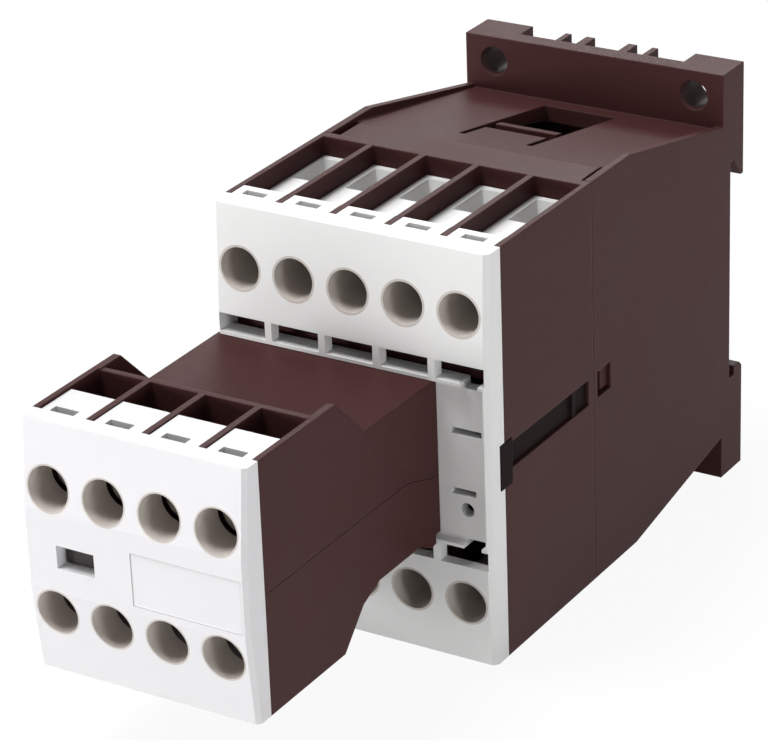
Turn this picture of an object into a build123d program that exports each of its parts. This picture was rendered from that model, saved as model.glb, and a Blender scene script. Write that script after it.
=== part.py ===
# Contactor for a 35 mm rail, with a four-pole auxiliary contact block on its front.
# X runs to the right, the front faces -Y and Z is up.  The origin is the centre of the rear
# mounting plane.  A depth is measured forwards from that plane, so y is minus the depth.
from build123d import *
import math
import os

# Overall sizes
PLATE_HEIGHT = 68.0
BODY_HEIGHT = 64.0
BODY_DEPTH = 80.0
MODULE_DEPTH = 48.0
MODULE_HEIGHT = 38.0
NECK_HEIGHT = 24.0

# Terminals; the widths of the body and of the auxiliary block follow from the pitch
PITCH = 9.0
TERMINAL_COUNT = 5
POLE_COUNT = 4
TERMINAL_INSET = 9.5
MODULE_TERMINAL_RISE = 9.35
MODULE_DROP = 0.4
TUBE_GAP = 0.05
TUBE_WALL = 0.35
MODULE_TUBE_WALL = 0.25
SCREW_HEAD_RADIUS = 3.0
SCREW_HEAD_HEIGHT = 2.8
SCREW_SHANK_RADIUS = 1.75
WASHER_GAP = 0.3
WASHER_THICKNESS = 1.0
CONTACT_STRIP = 1.2
WIRE_SPACE = 6.4

# Walls and clearances
WALL = 1.6
BAY_WALL = 0.9
RIB = 1.0
FLOOR = 1.5
SEAM = 0.1
FIT = 0.1
SLIDE_FIT = 0.3

# Mounting plate and rail
PLATE_THICKNESS = 7.0
SCREW_SIDE = 5.0
SCREW_INSET = 4.0
SCREW_HOLE_RADIUS = 2.35
RAIL_SEAT_DEPTH = 4.4
RAIL_TOP_LIP = 15.8
RAIL_TOP_UNDERCUT = 19.0
RAIL_BOTTOM_LIP = -16.2
RAIL_BOTTOM_UNDERCUT = -17.6
RAIL_HALF = 17.5
LIP_THICKNESS = 2.7
CORNER_BLOCK = 8.2
LATCH_TOP = 24.2
LATCH_HEADROOM = 3.3

# Outer form of the housings and the pale cover
COVER_RIM = 4.3
ROOF_FLAT = 11.8
ROOF_FALL = 6.4
TONGUE_LENGTH = 11.0
TONGUE_SKIN = 0.3
BELLY_FLAT = 13.3
BELLY_FALL = 5.1
FACE_SETBACK = 0.8
FACE_FLAT = 15.5
COVER_FACE = 1.9
COVER_LIP = 1.4
FIELD_RECESS = 1.3
FIELD_HIGH = 11.7
FIELD_LOW = -13.1
WINDOW_BAR = 0.5
WINDOW_HEIGHT = 2.9
DECK_DROP = 3.0
DECK = 1.6
FUNNEL_DEPTH = 2.9

# Magnet system
CORE_SIDE = 14.0
CORE_HALF_SPAN = 20.0
CENTRE_LEG = 6.0
OUTER_LEG = 6.0
CORE_REAR = 9.0
YOKE = 7.0
TRAVEL = 4.0
STOP_GAP = 0.1
FOOT_GAP = 0.5
ARMATURE_YOKE = 5.9
ARMATURE_LEG = 4.0
PAD_THICKNESS = 1.4
BOBBIN_WALL = 0.8
FLANGE = 1.2
PIN_RADIUS = 1.5
PIN_SETBACK = 3.0
RETURN_SPRING_X = 14.0
SPRING_TUBE_RADIUS = 3.6
SPRING_BORE_RADIUS = 2.8
SPRING_STEPS = 8
CARRIER_FOOT = 1.75
CARRIER_FOOT_RISE = 5.8
COIL_BLADE_HALF = 1.5
COIL_BLADE_LOW = 13.0

# Main contacts
FIXED_SEAT = 3.8
TIP_HALF = 1.6
TIP_HEIGHT = 1.15
TIP_RISE = 7.7
CONTACT_GAP = 3.05
BRIDGE_THICKNESS = 0.9
BRIDGE_WIDTH = 4.0
BRIDGE_SPAN = 18.6
OVERTRAVEL = 1.0
SPRING_ROOM = 5.0
CROSSBAR = 4.0
CROSSBAR_RISE = 5.2
CHEEK = 0.6
TOUCH = 0.05
SPRING_CUP = 1.0
COUPLING_STEM = 4.15
COUPLING_HEAD = 1.2
COUPLING_HEAD_HALF = 1.9
COUPLING_STEM_HALF = 0.7

# Auxiliary contacts
AUX_STRIP = 0.9
AUX_TIP_HEIGHT = 0.7
AUX_TIP_HALF = 1.2
AUX_TIP_RISE = 4.1
AUX_BRIDGE_WIDTH = 3.2
AUX_BRIDGE_SPAN = 11.0
AUX_BRIDGE_THICKNESS = 0.8
AUX_CHEEK = 0.85
AUX_CLOSED = (False, True, True, False)
AUX_LEG_RISE = 5.9
AUX_SPRING_ROOM = 4.45
AUX_FRAME_END = 1.4
MODULE_BAR = 3.5
INDICATOR_HALF = 3.1
INDICATOR_LOW = -2.7
INDICATOR_HIGH = 0.8
INDICATOR_FIT = 0.3
PARTING_RISE = -1.0
PARTING_STEP = 2.1
MODULE_COVER_FACE = 2.6
MODULE_FACE_SETBACK = 1.3
MODULE_FACE_FLAT = 6.0

# Places that follow from the sizes above
BODY_WIDTH = TERMINAL_COUNT * PITCH
MODULE_WIDTH = POLE_COUNT * PITCH
HALF_WIDTH = BODY_WIDTH / 2
HALF_PLATE = PLATE_HEIGHT / 2
HALF_HEIGHT = BODY_HEIGHT / 2
OUTSIDE = max(HALF_PLATE, HALF_HEIGHT) + 5
ROOF_REAR_RISE = HALF_HEIGHT - ROOF_FALL
BELLY_REAR_RISE = HALF_HEIGHT - BELLY_FALL
SCREW_SPACING_X = BODY_WIDTH - 2 * SCREW_SIDE
SCREW_SPACING_Z = PLATE_HEIGHT - 2 * SCREW_INSET
TERMINAL_RISE = HALF_HEIGHT - TERMINAL_INSET
BAY_LIMIT = HALF_WIDTH - BAY_WALL
TUBE_RADIUS = PITCH / 2 - BAY_WALL - TUBE_GAP
DRIVER_HOLE_RADIUS = TUBE_RADIUS - TUBE_WALL
MODULE_HOLE_RADIUS = TUBE_RADIUS - MODULE_TUBE_WALL
WASHER_SIDE = PITCH - 2 * BAY_WALL - 2 * WASHER_GAP
ROW_EDGE = TERMINAL_RISE - TUBE_RADIUS - 1.5
MODULE_ROW_EDGE = MODULE_TERMINAL_RISE - TUBE_RADIUS - 0.6
TERMINALS = [(i - (TERMINAL_COUNT - 1) / 2) * PITCH for i in range(TERMINAL_COUNT)]
POLES = TERMINALS[:POLE_COUNT]
COIL_X = TERMINALS[-1]
RIBS = [x + PITCH / 2 for x in TERMINALS[:-1]]
FIELD_FACE = BODY_DEPTH - FIELD_RECESS
FIELD_REAR = FIELD_FACE - COVER_FACE
FACE_REAR = BODY_DEPTH - COVER_FACE
COVER_DEPTH = BODY_DEPTH - COVER_RIM
COUPLING_REAR = FIELD_REAR - 1.6
COUPLING_FRONT = COUPLING_REAR + COUPLING_HEAD
BAR_FRONT = COUPLING_REAR - COUPLING_STEM
BAR_REAR = BAR_FRONT - CROSSBAR
BRIDGE_FRONT = BAR_REAR - SPRING_ROOM
BRIDGE_REAR = BRIDGE_FRONT - BRIDGE_THICKNESS
BRIDGE_TIP_FACE = BRIDGE_REAR - TIP_HEIGHT
FIXED_TIP_FACE = BRIDGE_TIP_FACE - CONTACT_GAP
FLOOR_FRONT = FIXED_TIP_FACE - TIP_HEIGHT - CONTACT_STRIP - FIXED_SEAT
SPLIT_DEPTH = FLOOR_FRONT - FLOOR
ROOF_BREAK_DEPTH = SPLIT_DEPTH - ROOF_FLAT
BELLY_BREAK_DEPTH = SPLIT_DEPTH - BELLY_FLAT
STRIP_FRONT = FLOOR_FRONT + CONTACT_STRIP
WASHER_REAR = STRIP_FRONT + WIRE_SPACE
HEAD_REAR = WASHER_REAR + WASHER_THICKNESS
HEAD_FRONT = HEAD_REAR + SCREW_HEAD_HEIGHT
DECK_TOP = HALF_HEIGHT - DECK_DROP
SKIRT_END = DECK_TOP - FUNNEL_DEPTH
PAD_END = SKIRT_END
CARRIER_HALF = BRIDGE_WIDTH / 2 + 0.15 + CHEEK
LEG_HALF = PITCH / 2 - CARRIER_HALF + TOUCH
FOOT_FRONT = SPLIT_DEPTH - FOOT_GAP
ARMATURE_FRONT = FOOT_FRONT - CARRIER_FOOT - TOUCH
ARMATURE_REAR = ARMATURE_FRONT - ARMATURE_YOKE - ARMATURE_LEG
CORE_FRONT = ARMATURE_REAR - STOP_GAP - TRAVEL
PIN_DEPTH = ARMATURE_FRONT - PIN_SETBACK
MODULE_FACE = BODY_DEPTH + MODULE_DEPTH
MODULE_LEFT = -HALF_WIDTH
MODULE_RIGHT = MODULE_LEFT + MODULE_WIDTH
MODULE_REAR = FIELD_FACE + SEAM
MODULE_HALF = MODULE_HEIGHT / 2
NECK_HALF = NECK_HEIGHT / 2
MODULE_CENTRE_X = (MODULE_LEFT + MODULE_RIGHT) / 2
MODULE_COVER_DEPTH = MODULE_FACE - 4.2
MODULE_RIBS = RIBS[:POLE_COUNT - 1]
MODULE_PAD_REAR = MODULE_FACE - 20.8
MODULE_WASHER_REAR = MODULE_FACE - 9.8
MODULE_HEAD_FRONT = MODULE_WASHER_REAR + WASHER_THICKNESS + SCREW_HEAD_HEIGHT
CROSS_WALL = MODULE_FACE - 19.2
MODULE_BAR_REAR = MODULE_REAR + WALL + TRAVEL + FIT
MODULE_BAR_FRONT = MODULE_BAR_REAR + MODULE_BAR
AUX_OPEN_FIXED = MODULE_BAR_FRONT + 6.0
AUX_OPEN_TIP = AUX_OPEN_FIXED + AUX_STRIP + AUX_TIP_HEIGHT
AUX_OPEN_REAR = AUX_OPEN_TIP + CONTACT_GAP + AUX_TIP_HEIGHT
AUX_OPEN_FRONT = AUX_OPEN_REAR + AUX_BRIDGE_THICKNESS
AUX_CLOSED_FIXED = AUX_OPEN_FIXED + TRAVEL
AUX_CLOSED_TIP = AUX_CLOSED_FIXED - AUX_TIP_HEIGHT
AUX_CLOSED_FRONT = AUX_CLOSED_TIP - TOUCH - AUX_TIP_HEIGHT
AUX_CLOSED_REAR = AUX_CLOSED_FRONT - AUX_BRIDGE_THICKNESS
AUX_OPEN_CUP = AUX_OPEN_FRONT + AUX_SPRING_ROOM
AUX_CLOSED_CUP = AUX_CLOSED_REAR - AUX_SPRING_ROOM + TOUCH + FIT / 2
INDICATOR_X = RIBS[0] - 0.6


def block(x0, x1, d0, d1, z0, z1):
    """A rectangular block between two widths, two depths and two heights."""
    centre = Pos((x0 + x1) / 2, -(d0 + d1) / 2, (z0 + z1) / 2)
    return centre * Box(abs(x1 - x0), abs(d1 - d0), abs(z1 - z0))


def side_profile(points, x0, x1):
    """A side view outline, given as depth and height, drawn across the width."""
    outline = Polyline(*[(x0, -depth, height) for depth, height in points], close=True)
    return extrude(make_face(outline), amount=x1 - x0, dir=(1, 0, 0))


def along_depth(shape, x, z, depth):
    """Stands a shape that was made along +Z on a point, looking forwards."""
    return Pos(x, -depth, z) * Rot(90, 0, 0) * shape


def rod(x, z, radius, d0, d1):
    """A round rod between two depths."""
    return along_depth(Pos(0, 0, (d1 - d0) / 2) * Cylinder(radius, d1 - d0), x, z, d0)


def contact_tip(x, z, half, d0, d1):
    """A square silver contact pad between two depths."""
    return block(x - half, x + half, d0, d1, z - half, z + half)


def flipped(shape):
    """The same shape in the lower half."""
    return mirror(shape, about=Plane.XY)


def spring(radius, wire, turns, length):
    """A coil spring with a square wire, made along +Z from its seat in short straight lengths."""
    count = SPRING_STEPS * turns
    points = []
    for i in range(count + 1):
        angle = 2 * math.pi * i / SPRING_STEPS
        points.append((radius * math.cos(angle), radius * math.sin(angle), (length - wire) * i / count))
    path = Polyline(*points)
    section = Plane(origin=path @ 0, x_dir=(1, 0, 0), z_dir=path % 0) * Rectangle(wire, wire)
    return Pos(0, 0, wire / 2) * sweep(section, path=path, transition=Transition.RIGHT)


def bay(x, margin=0.0):
    """The left and right limits of the terminal bay round one terminal."""
    left = max(x - (PITCH - RIB) / 2, -BAY_LIMIT) + margin
    right = min(x + (PITCH - RIB) / 2, BAY_LIMIT) - margin
    return left, right


def module_bay(x, margin=0.0):
    """The left and right limits of one bay of the auxiliary block."""
    left = max(x - (PITCH - RIB) / 2, MODULE_LEFT + BAY_WALL) + margin
    right = min(x + (PITCH - RIB) / 2, MODULE_RIGHT - BAY_WALL) - margin
    return left, right


def terminal_screw(shank):
    """A clamp screw along +Z, with the rear of its head at zero and a slot."""
    head = Cylinder(SCREW_HEAD_RADIUS, SCREW_HEAD_HEIGHT, align=(Align.CENTER, Align.CENTER, Align.MIN))
    stem = Pos(0, 0, -shank / 2) * Cylinder(SCREW_SHANK_RADIUS, shank)
    slot_place = Pos(0, 0, SCREW_HEAD_HEIGHT)
    slot = Rot(0, 0, 35) * slot_place * Box(2 * SCREW_HEAD_RADIUS, 0.9, 2.2)
    return head + stem - slot


def clamp_washer():
    """A square clamp plate along +Z, with its rear face at zero."""
    plate = Pos(0, 0, WASHER_THICKNESS / 2) * Box(WASHER_SIDE, WASHER_SIDE, WASHER_THICKNESS)
    return plate - Cylinder(SCREW_SHANK_RADIUS + FIT / 2, 4 * WASHER_THICKNESS)


def mounting_base():
    """Rear housing: magnet case, mounting plate, rail seat, sloping roof and snap tongue."""
    outline = [
        (0, HALF_PLATE), (PLATE_THICKNESS, HALF_PLATE), (PLATE_THICKNESS, ROOF_REAR_RISE),
        (ROOF_BREAK_DEPTH, HALF_HEIGHT), (SPLIT_DEPTH - SEAM, HALF_HEIGHT),
        (SPLIT_DEPTH - SEAM, -HALF_HEIGHT), (BELLY_BREAK_DEPTH, -HALF_HEIGHT),
        (PLATE_THICKNESS, -BELLY_REAR_RISE), (PLATE_THICKNESS, -HALF_PLATE), (0, -HALF_PLATE),
        (0, RAIL_BOTTOM_LIP - 0.8), (0.8, RAIL_BOTTOM_LIP), (LIP_THICKNESS, RAIL_BOTTOM_LIP),
        (LIP_THICKNESS, RAIL_BOTTOM_UNDERCUT), (RAIL_SEAT_DEPTH, RAIL_BOTTOM_UNDERCUT),
        (RAIL_SEAT_DEPTH, RAIL_TOP_UNDERCUT), (RAIL_SEAT_DEPTH - 1.1, RAIL_TOP_UNDERCUT),
        (0.8, RAIL_TOP_LIP), (0, RAIL_TOP_LIP),
    ]
    body = side_profile(outline, -HALF_WIDTH, HALF_WIDTH)
    cavity_floor = CORE_REAR - PAD_THICKNESS
    inner = HALF_WIDTH - WALL
    belly_inside = max(BELLY_REAR_RISE - 2 * WALL, CORE_HALF_SPAN + 1)
    cavity = side_profile([
        (cavity_floor, roof_inside(cavity_floor)), (ROOF_BREAK_DEPTH + 1, HALF_HEIGHT - WALL - 0.5),
        (SPLIT_DEPTH + 1, HALF_HEIGHT - WALL - 0.5), (SPLIT_DEPTH + 1, -HALF_HEIGHT + WALL + 0.5),
        (BELLY_BREAK_DEPTH, -HALF_HEIGHT + WALL + 0.5), (cavity_floor, -belly_inside),
    ], -inner, inner)
    body -= cavity
    edge = HALF_WIDTH - 1.2
    sink = 0.5
    body -= side_profile([
        (PLATE_THICKNESS, ROOF_REAR_RISE - sink), (ROOF_BREAK_DEPTH + 5.5, HALF_HEIGHT - sink),
        (SPLIT_DEPTH + 1, HALF_HEIGHT - sink), (SPLIT_DEPTH + 1, OUTSIDE),
        (PLATE_THICKNESS, OUTSIDE),
    ], -edge, edge)
    body -= side_profile([
        (PLATE_THICKNESS, -BELLY_REAR_RISE + sink), (BELLY_BREAK_DEPTH + 5.5, -HALF_HEIGHT + sink),
        (SPLIT_DEPTH + 1, -HALF_HEIGHT + sink), (SPLIT_DEPTH + 1, -OUTSIDE),
        (PLATE_THICKNESS, -OUTSIDE),
    ], -edge, edge)
    body -= plate_relief() + flipped(plate_relief())
    body += latch_box()
    body -= latch_pocket()
    for x in (-SCREW_SPACING_X / 2, SCREW_SPACING_X / 2):
        for z in (-SCREW_SPACING_Z / 2, SCREW_SPACING_Z / 2):
            body -= rod(x, z, SCREW_HOLE_RADIUS, -1, PLATE_THICKNESS + 1)
    body -= roof_cuts()
    body -= flipped(side_slots())
    for side in (-1, 1):
        body -= block(side * (HALF_WIDTH - WALL - 1), side * (HALF_WIDTH + 1),
                      SPLIT_DEPTH - 5.3, SPLIT_DEPTH - 1.2, -2.5, 1.7)
    return body


def roof_inside(depth):
    """Height of the underside of the sloping roof at a depth."""
    rear = CORE_REAR - PAD_THICKNESS
    low = max(ROOF_REAR_RISE - 2 * WALL, CORE_HALF_SPAN + 1)
    share = (depth - rear) / (ROOF_BREAK_DEPTH + 1 - rear)
    return low + share * (HALF_HEIGHT - WALL - 0.5 - low)


def plate_relief():
    """The hollow behind the upper flange, with the four ribs left standing in it."""
    half = HALF_WIDTH - CORNER_BLOCK
    hollow = block(-half, half, -1, RAIL_SEAT_DEPTH - 0.4, RAIL_TOP_UNDERCUT + 1, OUTSIDE)
    for x, width in ((-7.6, 1.0), (-3.7, 1.5), (3.7, 1.5), (7.6, 1.0)):
        hollow -= block(x - width / 2, x + width / 2, 0.5, PLATE_THICKNESS, 0, HALF_PLATE)
    return hollow


def latch_box():
    """The guide box of the rail latch, between the two inner ribs."""
    return block(-4.4, 4.4, 0.5, RAIL_SEAT_DEPTH, RAIL_TOP_UNDERCUT, HALF_PLATE - 2.0)


def latch_pocket():
    """The shaft of the rail latch, open at the rail."""
    shaft = block(-2.9, 2.9, 1.2, RAIL_SEAT_DEPTH - 0.3, RAIL_HALF - 0.5, HALF_PLATE - LATCH_HEADROOM + FIT)
    mouth = block(-2.9, 2.9, -1, RAIL_SEAT_DEPTH - 0.3, RAIL_TOP_LIP - 1, RAIL_TOP_UNDERCUT + 1)
    return shaft + mouth


def roof_cuts():
    """The opening in the roof, the two slots that free the snap tongue, and the side slots."""
    half = 6.2
    slot = 1.0
    tongue_end = ROOF_BREAK_DEPTH - TONGUE_LENGTH
    rear, front = tongue_end + 1.7, ROOF_BREAK_DEPTH - 3.0
    cuts = block(-half, half, PLATE_THICKNESS + 4, tongue_end, CORE_HALF_SPAN, OUTSIDE) + side_slots()
    for side in (-1, 1):
        cuts += block(side * (half - slot), side * half, tongue_end - 0.5, ROOF_BREAK_DEPTH,
                      CORE_HALF_SPAN, OUTSIDE)
    top = HALF_HEIGHT
    groove = side_profile([(rear, top), (rear, roof_inside(rear) + TONGUE_SKIN), (front, top - 0.7),
                           (front, top)], -(half - slot), half - slot)
    return cuts + groove


def side_slots():
    """The two short slots beside the upper walls, near the split."""
    wall = HALF_WIDTH - 1.2
    left = block(-wall, -wall + 1.0, SPLIT_DEPTH - 7.3, SPLIT_DEPTH - 0.9, HALF_HEIGHT - 4, OUTSIDE)
    return left + mirror(left, about=Plane.YZ)


def rail_latch():
    """Sprung slider that presses the rail down into the lower lip."""
    latch = block(-2.6, 2.6, 1.5, RAIL_SEAT_DEPTH - 0.6, RAIL_HALF + 0.3, LATCH_TOP)
    latch += block(-2.6, 2.6, 0.3, RAIL_SEAT_DEPTH - 0.6, RAIL_HALF + 0.3, RAIL_TOP_UNDERCUT - 0.9)
    return latch - block(-3, 3, 0, 1.2, RAIL_HALF, RAIL_HALF + 0.6)


def rail_latch_spring():
    """Spring between the latch and the closed end of its shaft."""
    coil = spring(0.95, 0.4, 4, HALF_PLATE - LATCH_HEADROOM - LATCH_TOP)
    return Pos(0, -(1.2 + RAIL_SEAT_DEPTH - 0.3) / 2, LATCH_TOP) * coil


def contact_chamber():
    """Front housing: open terminal bays between ribs, contact cells and the side grooves."""
    body = block(-HALF_WIDTH, HALF_WIDTH, SPLIT_DEPTH, COVER_DEPTH, -HALF_HEIGHT, HALF_HEIGHT)
    cell_half = 11.3
    bay_foot = cell_half + 1.3
    for x in TERMINALS:
        left, right = bay(x)
        cut = block(left, right, FLOOR_FRONT, COVER_DEPTH + 1, bay_foot, HALF_HEIGHT + 1)
        body -= cut + flipped(cut)
    inner = HALF_WIDTH - WALL + 0.1
    for x in TERMINALS:
        left = max(x - (PITCH - RIB) / 2, -inner)
        right = min(x + (PITCH - RIB) / 2, inner)
        body -= block(left, right, FLOOR_FRONT, COVER_DEPTH + 1, -cell_half, cell_half)
    bar_way = BRIDGE_FRONT + SPRING_ROOM - TRAVEL - SLIDE_FIT
    rise = CROSSBAR_RISE + SLIDE_FIT
    body -= block(-inner, RIBS[-1] - RIB, bar_way, COVER_DEPTH + 1, -rise, rise)
    for x in (RIBS[1], RIBS[2]):
        body -= block(x - RIB, x + RIB, FLOOR_FRONT, COVER_DEPTH + 1, -rise, rise)
        leg = LEG_HALF + SLIDE_FIT
        body -= block(x - leg, x + leg, SPLIT_DEPTH - 1, FLOOR_FRONT + 1, -rise, rise)
    seat = FLOOR_FRONT + FIXED_SEAT
    for x in POLES:
        slot = block(x - 2.6, x + 2.6, seat - FIT, seat + CONTACT_STRIP + FIT, cell_half - 1, bay_foot + 1)
        body -= slot + flipped(slot)
    blade = COIL_BLADE_HALF + 2 * FIT
    way = block(COIL_X - blade, COIL_X + blade, SPLIT_DEPTH - 1, FLOOR_FRONT + 1,
                COIL_BLADE_LOW - 2 * FIT, COIL_BLADE_LOW + CONTACT_STRIP + 2 * FIT)
    body -= way + flipped(way)
    for side in (-1, 1):
        wall = side * HALF_WIDTH
        deep = side * (HALF_WIDTH - 0.8)
        body -= block(deep, wall + side, FLOOR_FRONT, COVER_DEPTH + 1, -2.6, 1.5)
        body -= block(deep, wall + side, COVER_DEPTH - 2.2, COVER_DEPTH + 1, -5.0, 2.2)
        arm = block(side * (HALF_WIDTH - WALL - 1.4), side * (HALF_WIDTH - WALL - FIT),
                    SPLIT_DEPTH - 5.9, SPLIT_DEPTH, -2.1, 1.3)
        barb = block(side * (HALF_WIDTH - WALL - 1.0), side * (HALF_WIDTH - 0.6),
                     SPLIT_DEPTH - 5.1, SPLIT_DEPTH - 3.1, -2.1, 1.3)
        body += arm + barb
    return body


def cover_form(rear):
    """The outer form of the pale front, from a depth to its faintly sloping face."""
    set_back = BODY_DEPTH - FACE_SETBACK
    return side_profile([
        (rear, HALF_HEIGHT), (set_back, HALF_HEIGHT), (BODY_DEPTH, FACE_FLAT),
        (BODY_DEPTH, -FACE_FLAT), (set_back, -HALF_HEIGHT), (rear, -HALF_HEIGHT),
    ], -HALF_WIDTH, HALF_WIDTH)


def cover_moulding():
    """The whole pale front, before it is parted into its centre panel and shroud plates."""
    front_edges = cover_form(COVER_DEPTH).edges().filter_by(Axis.Z, tolerance=4).group_by(Axis.Y)[0]
    body = chamfer(front_edges, 0.7)
    inner = HALF_HEIGHT - COVER_LIP
    high = FIELD_HIGH + WINDOW_BAR
    low = FIELD_LOW - WINDOW_BAR
    body -= block(-BAY_LIMIT, BAY_LIMIT, COVER_DEPTH - 1, FIELD_REAR, -inner, inner)
    body -= block(-BAY_LIMIT, BAY_LIMIT, FIELD_REAR - 1, FACE_REAR, high, inner)
    body -= block(-BAY_LIMIT, BAY_LIMIT, FIELD_REAR - 1, FACE_REAR, -inner, low)
    body -= block(-HALF_WIDTH - 1, BAY_LIMIT, FIELD_FACE, BODY_DEPTH + 1, FIELD_LOW, FIELD_HIGH)
    for x in TERMINALS:
        for z in (-TERMINAL_RISE, TERMINAL_RISE):
            body -= rod(x, z, TUBE_RADIUS, FIELD_REAR, BODY_DEPTH + 1)
        body -= label_windows(x)
    body -= block(MODULE_CENTRE_X - 4.0, MODULE_CENTRE_X + 4.0, COVER_DEPTH, BODY_DEPTH + 1, -4, 4)
    for x in (POLES[0], POLES[-1]):
        for z0, z1 in ((8.3, 10.5), (-10.5, -8.3)):
            body -= block(x - 1.8, x + 1.8, COVER_DEPTH, BODY_DEPTH + 1, z0, z1)
    body -= block(COIL_X - 2.4, COIL_X + 2.6, COVER_DEPTH, BODY_DEPTH + 1, 3.5, 4.6)
    body -= block(COIL_X - 2.5, COIL_X + 1.5, COVER_DEPTH, BODY_DEPTH + 1, -5.9, -4.9)
    body -= rod(COIL_X, -8.1, 1.1, COVER_DEPTH, BODY_DEPTH + 1)
    for side in (-1, 1):
        body -= block(side * (HALF_WIDTH - 0.8), side * (HALF_WIDTH + 1), COVER_DEPTH - 1,
                      COVER_DEPTH + 1.3, -5.0, 2.2)
    return body


def terminal_cover(moulding):
    """The centre panel: label windows, recessed module seat and the slots for the module's hooks."""
    row = block(-HALF_WIDTH - 1, HALF_WIDTH + 1, COVER_DEPTH - 1, BODY_DEPTH + 1, ROW_EDGE, OUTSIDE)
    return moulding - row - flipped(row)


def shroud_plates(moulding):
    """The ten plates of the pale front, one round the driver tube of each terminal."""
    edges = [-HALF_WIDTH - 1] + RIBS + [HALF_WIDTH + 1]
    plates = []
    for left, right in zip(edges, edges[1:]):
        cell = block(left, right, COVER_DEPTH - 1, BODY_DEPTH + 1, ROW_EDGE, OUTSIDE)
        plates += [moulding & cell, moulding & flipped(cell)]
    return plates


def driver_tubes():
    """The ten tubes that guide a screwdriver to the terminal screws, flush with the face."""
    rear = HEAD_FRONT + 4 * FIT
    form = cover_form(rear)
    tubes = []
    for x in TERMINALS:
        tube = form & rod(x, TERMINAL_RISE, TUBE_RADIUS, rear, BODY_DEPTH + 1)
        tube -= rod(x, TERMINAL_RISE, DRIVER_HOLE_RADIUS, rear - 1, BODY_DEPTH + 1)
        tubes += [tube, flipped(tube)]
    return tubes


def wire_funnels():
    """The ten wire entries, each seated on the rear of its shroud plate."""
    pieces = []
    for x in TERMINALS:
        funnel = wire_funnel(x)
        pieces += [funnel, flipped(funnel)]
    return pieces


def wire_funnel(x):
    """One upper wire entry: a lowered deck between the ribs with a tapered mouth."""
    left, right = bay(x, FIT)
    tab = block(left, right, COVER_DEPTH - 3.4, COVER_DEPTH, HALF_HEIGHT - COVER_LIP, HALF_HEIGHT)
    tab -= block(x - 2.1, x + 1.6, COVER_DEPTH - 2.0, COVER_DEPTH - 0.5, 0, OUTSIDE)
    deck = block(left, right, FLOOR_FRONT + FIT, COVER_DEPTH + 1, DECK_TOP - DECK, DECK_TOP)
    riser = block(left, right, COVER_DEPTH - 3.4, COVER_DEPTH - 2.2, DECK_TOP - 1, HALF_HEIGHT)
    skin = 0.7
    mouth_rear = STRIP_FRONT + skin + 2 * FIT
    mouth_front = WASHER_REAR - skin - FIT
    skirt = block(x - 2.2 - skin, x + 2.2 + skin, mouth_rear - skin, mouth_front + skin,
                  SKIRT_END, DECK_TOP)
    wide = Plane.XY.offset(DECK_TOP) * Pos(x, -(mouth_rear + mouth_front) / 2 - 1.05)
    narrow = Plane.XY.offset(SKIRT_END + 0.3) * Pos(x, -(mouth_rear + mouth_front) / 2)
    mouth = loft([wide * Rectangle(5.8, mouth_front - mouth_rear + 3.7),
                  narrow * Rectangle(4.4, mouth_front - mouth_rear)])
    throat = block(x - 2.2, x + 2.2, mouth_rear, mouth_front, SKIRT_END - 1, SKIRT_END + 0.4)
    return tab + riser + deck + skirt - mouth - throat


def label_windows(x):
    """The small windows above and below the module seat at one terminal."""
    half = (PITCH - RIB) / 2 - 0.05
    side = HALF_WIDTH - 0.6
    left, right = max(x - half, -side), min(x + half, side)
    high = FIELD_HIGH + WINDOW_BAR
    low = FIELD_LOW - WINDOW_BAR
    limit = ROW_EDGE - WINDOW_BAR
    top = min(high + WINDOW_HEIGHT, limit)
    foot = max(low - WINDOW_HEIGHT, -limit)
    cut = block(left, right, FIELD_REAR - 1, BODY_DEPTH + 1, high, top)
    cut += block(left, right, FIELD_REAR - 1, BODY_DEPTH + 1, foot, low)
    if x == COIL_X:
        cut += block(x, x + 2.9, FIELD_REAR - 1, BODY_DEPTH + 1, high - 1.2, high + 1)
        cut += block(x, x + 2.9, FIELD_REAR - 1, BODY_DEPTH + 1, low - 1, low + 1.0)
    return cut


def side_clips():
    """Two dark clips that lie in the side grooves and close the notches of the cover."""
    clips = []
    for side in (-1, 1):
        outer = side * (HALF_WIDTH + 0.1)
        deep = side * (HALF_WIDTH - 0.8 + FIT)
        head = block(deep, outer, COVER_DEPTH - 2.1, COVER_DEPTH + 1.2, -4.9, 2.1)
        tail = block(deep, side * (HALF_WIDTH - 0.5), FLOOR_FRONT + FIT, COVER_DEPTH - 2, -2.5, 1.4)
        stop = block(deep, side * (HALF_WIDTH - 0.1), FLOOR_FRONT + 4, FLOOR_FRONT + 5, -2.5, 1.4)
        clips.append(head + tail + stop)
    return clips


def magnet_core():
    """E-shaped laminated core with the grooves for its two shading rings."""
    back = CORE_REAR + YOKE
    window_top = CORE_HALF_SPAN - OUTER_LEG
    side = CORE_SIDE / 2
    core = side_profile([
        (CORE_REAR, CORE_HALF_SPAN), (CORE_FRONT, CORE_HALF_SPAN), (CORE_FRONT, window_top),
        (back, window_top), (back, CENTRE_LEG), (CORE_FRONT - 0.1, CENTRE_LEG),
        (CORE_FRONT - 0.1, -CENTRE_LEG), (back, -CENTRE_LEG), (back, -window_top),
        (CORE_FRONT, -window_top), (CORE_FRONT, -CORE_HALF_SPAN), (CORE_REAR, -CORE_HALF_SPAN),
    ], -side, side)
    groove = block(-side - 1, side + 1, CORE_FRONT - 1.2, CORE_FRONT + 1, 16.2, 17.1)
    core -= groove + flipped(groove)
    for z in (-CORE_HALF_SPAN + 3, 0, CORE_HALF_SPAN - 3):
        rivet = Pos(0, -(CORE_REAR + YOKE / 2), z) * Rot(0, 90, 0) * Cylinder(1.4, CORE_SIDE + 1.2)
        core += rivet
    return core


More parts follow.
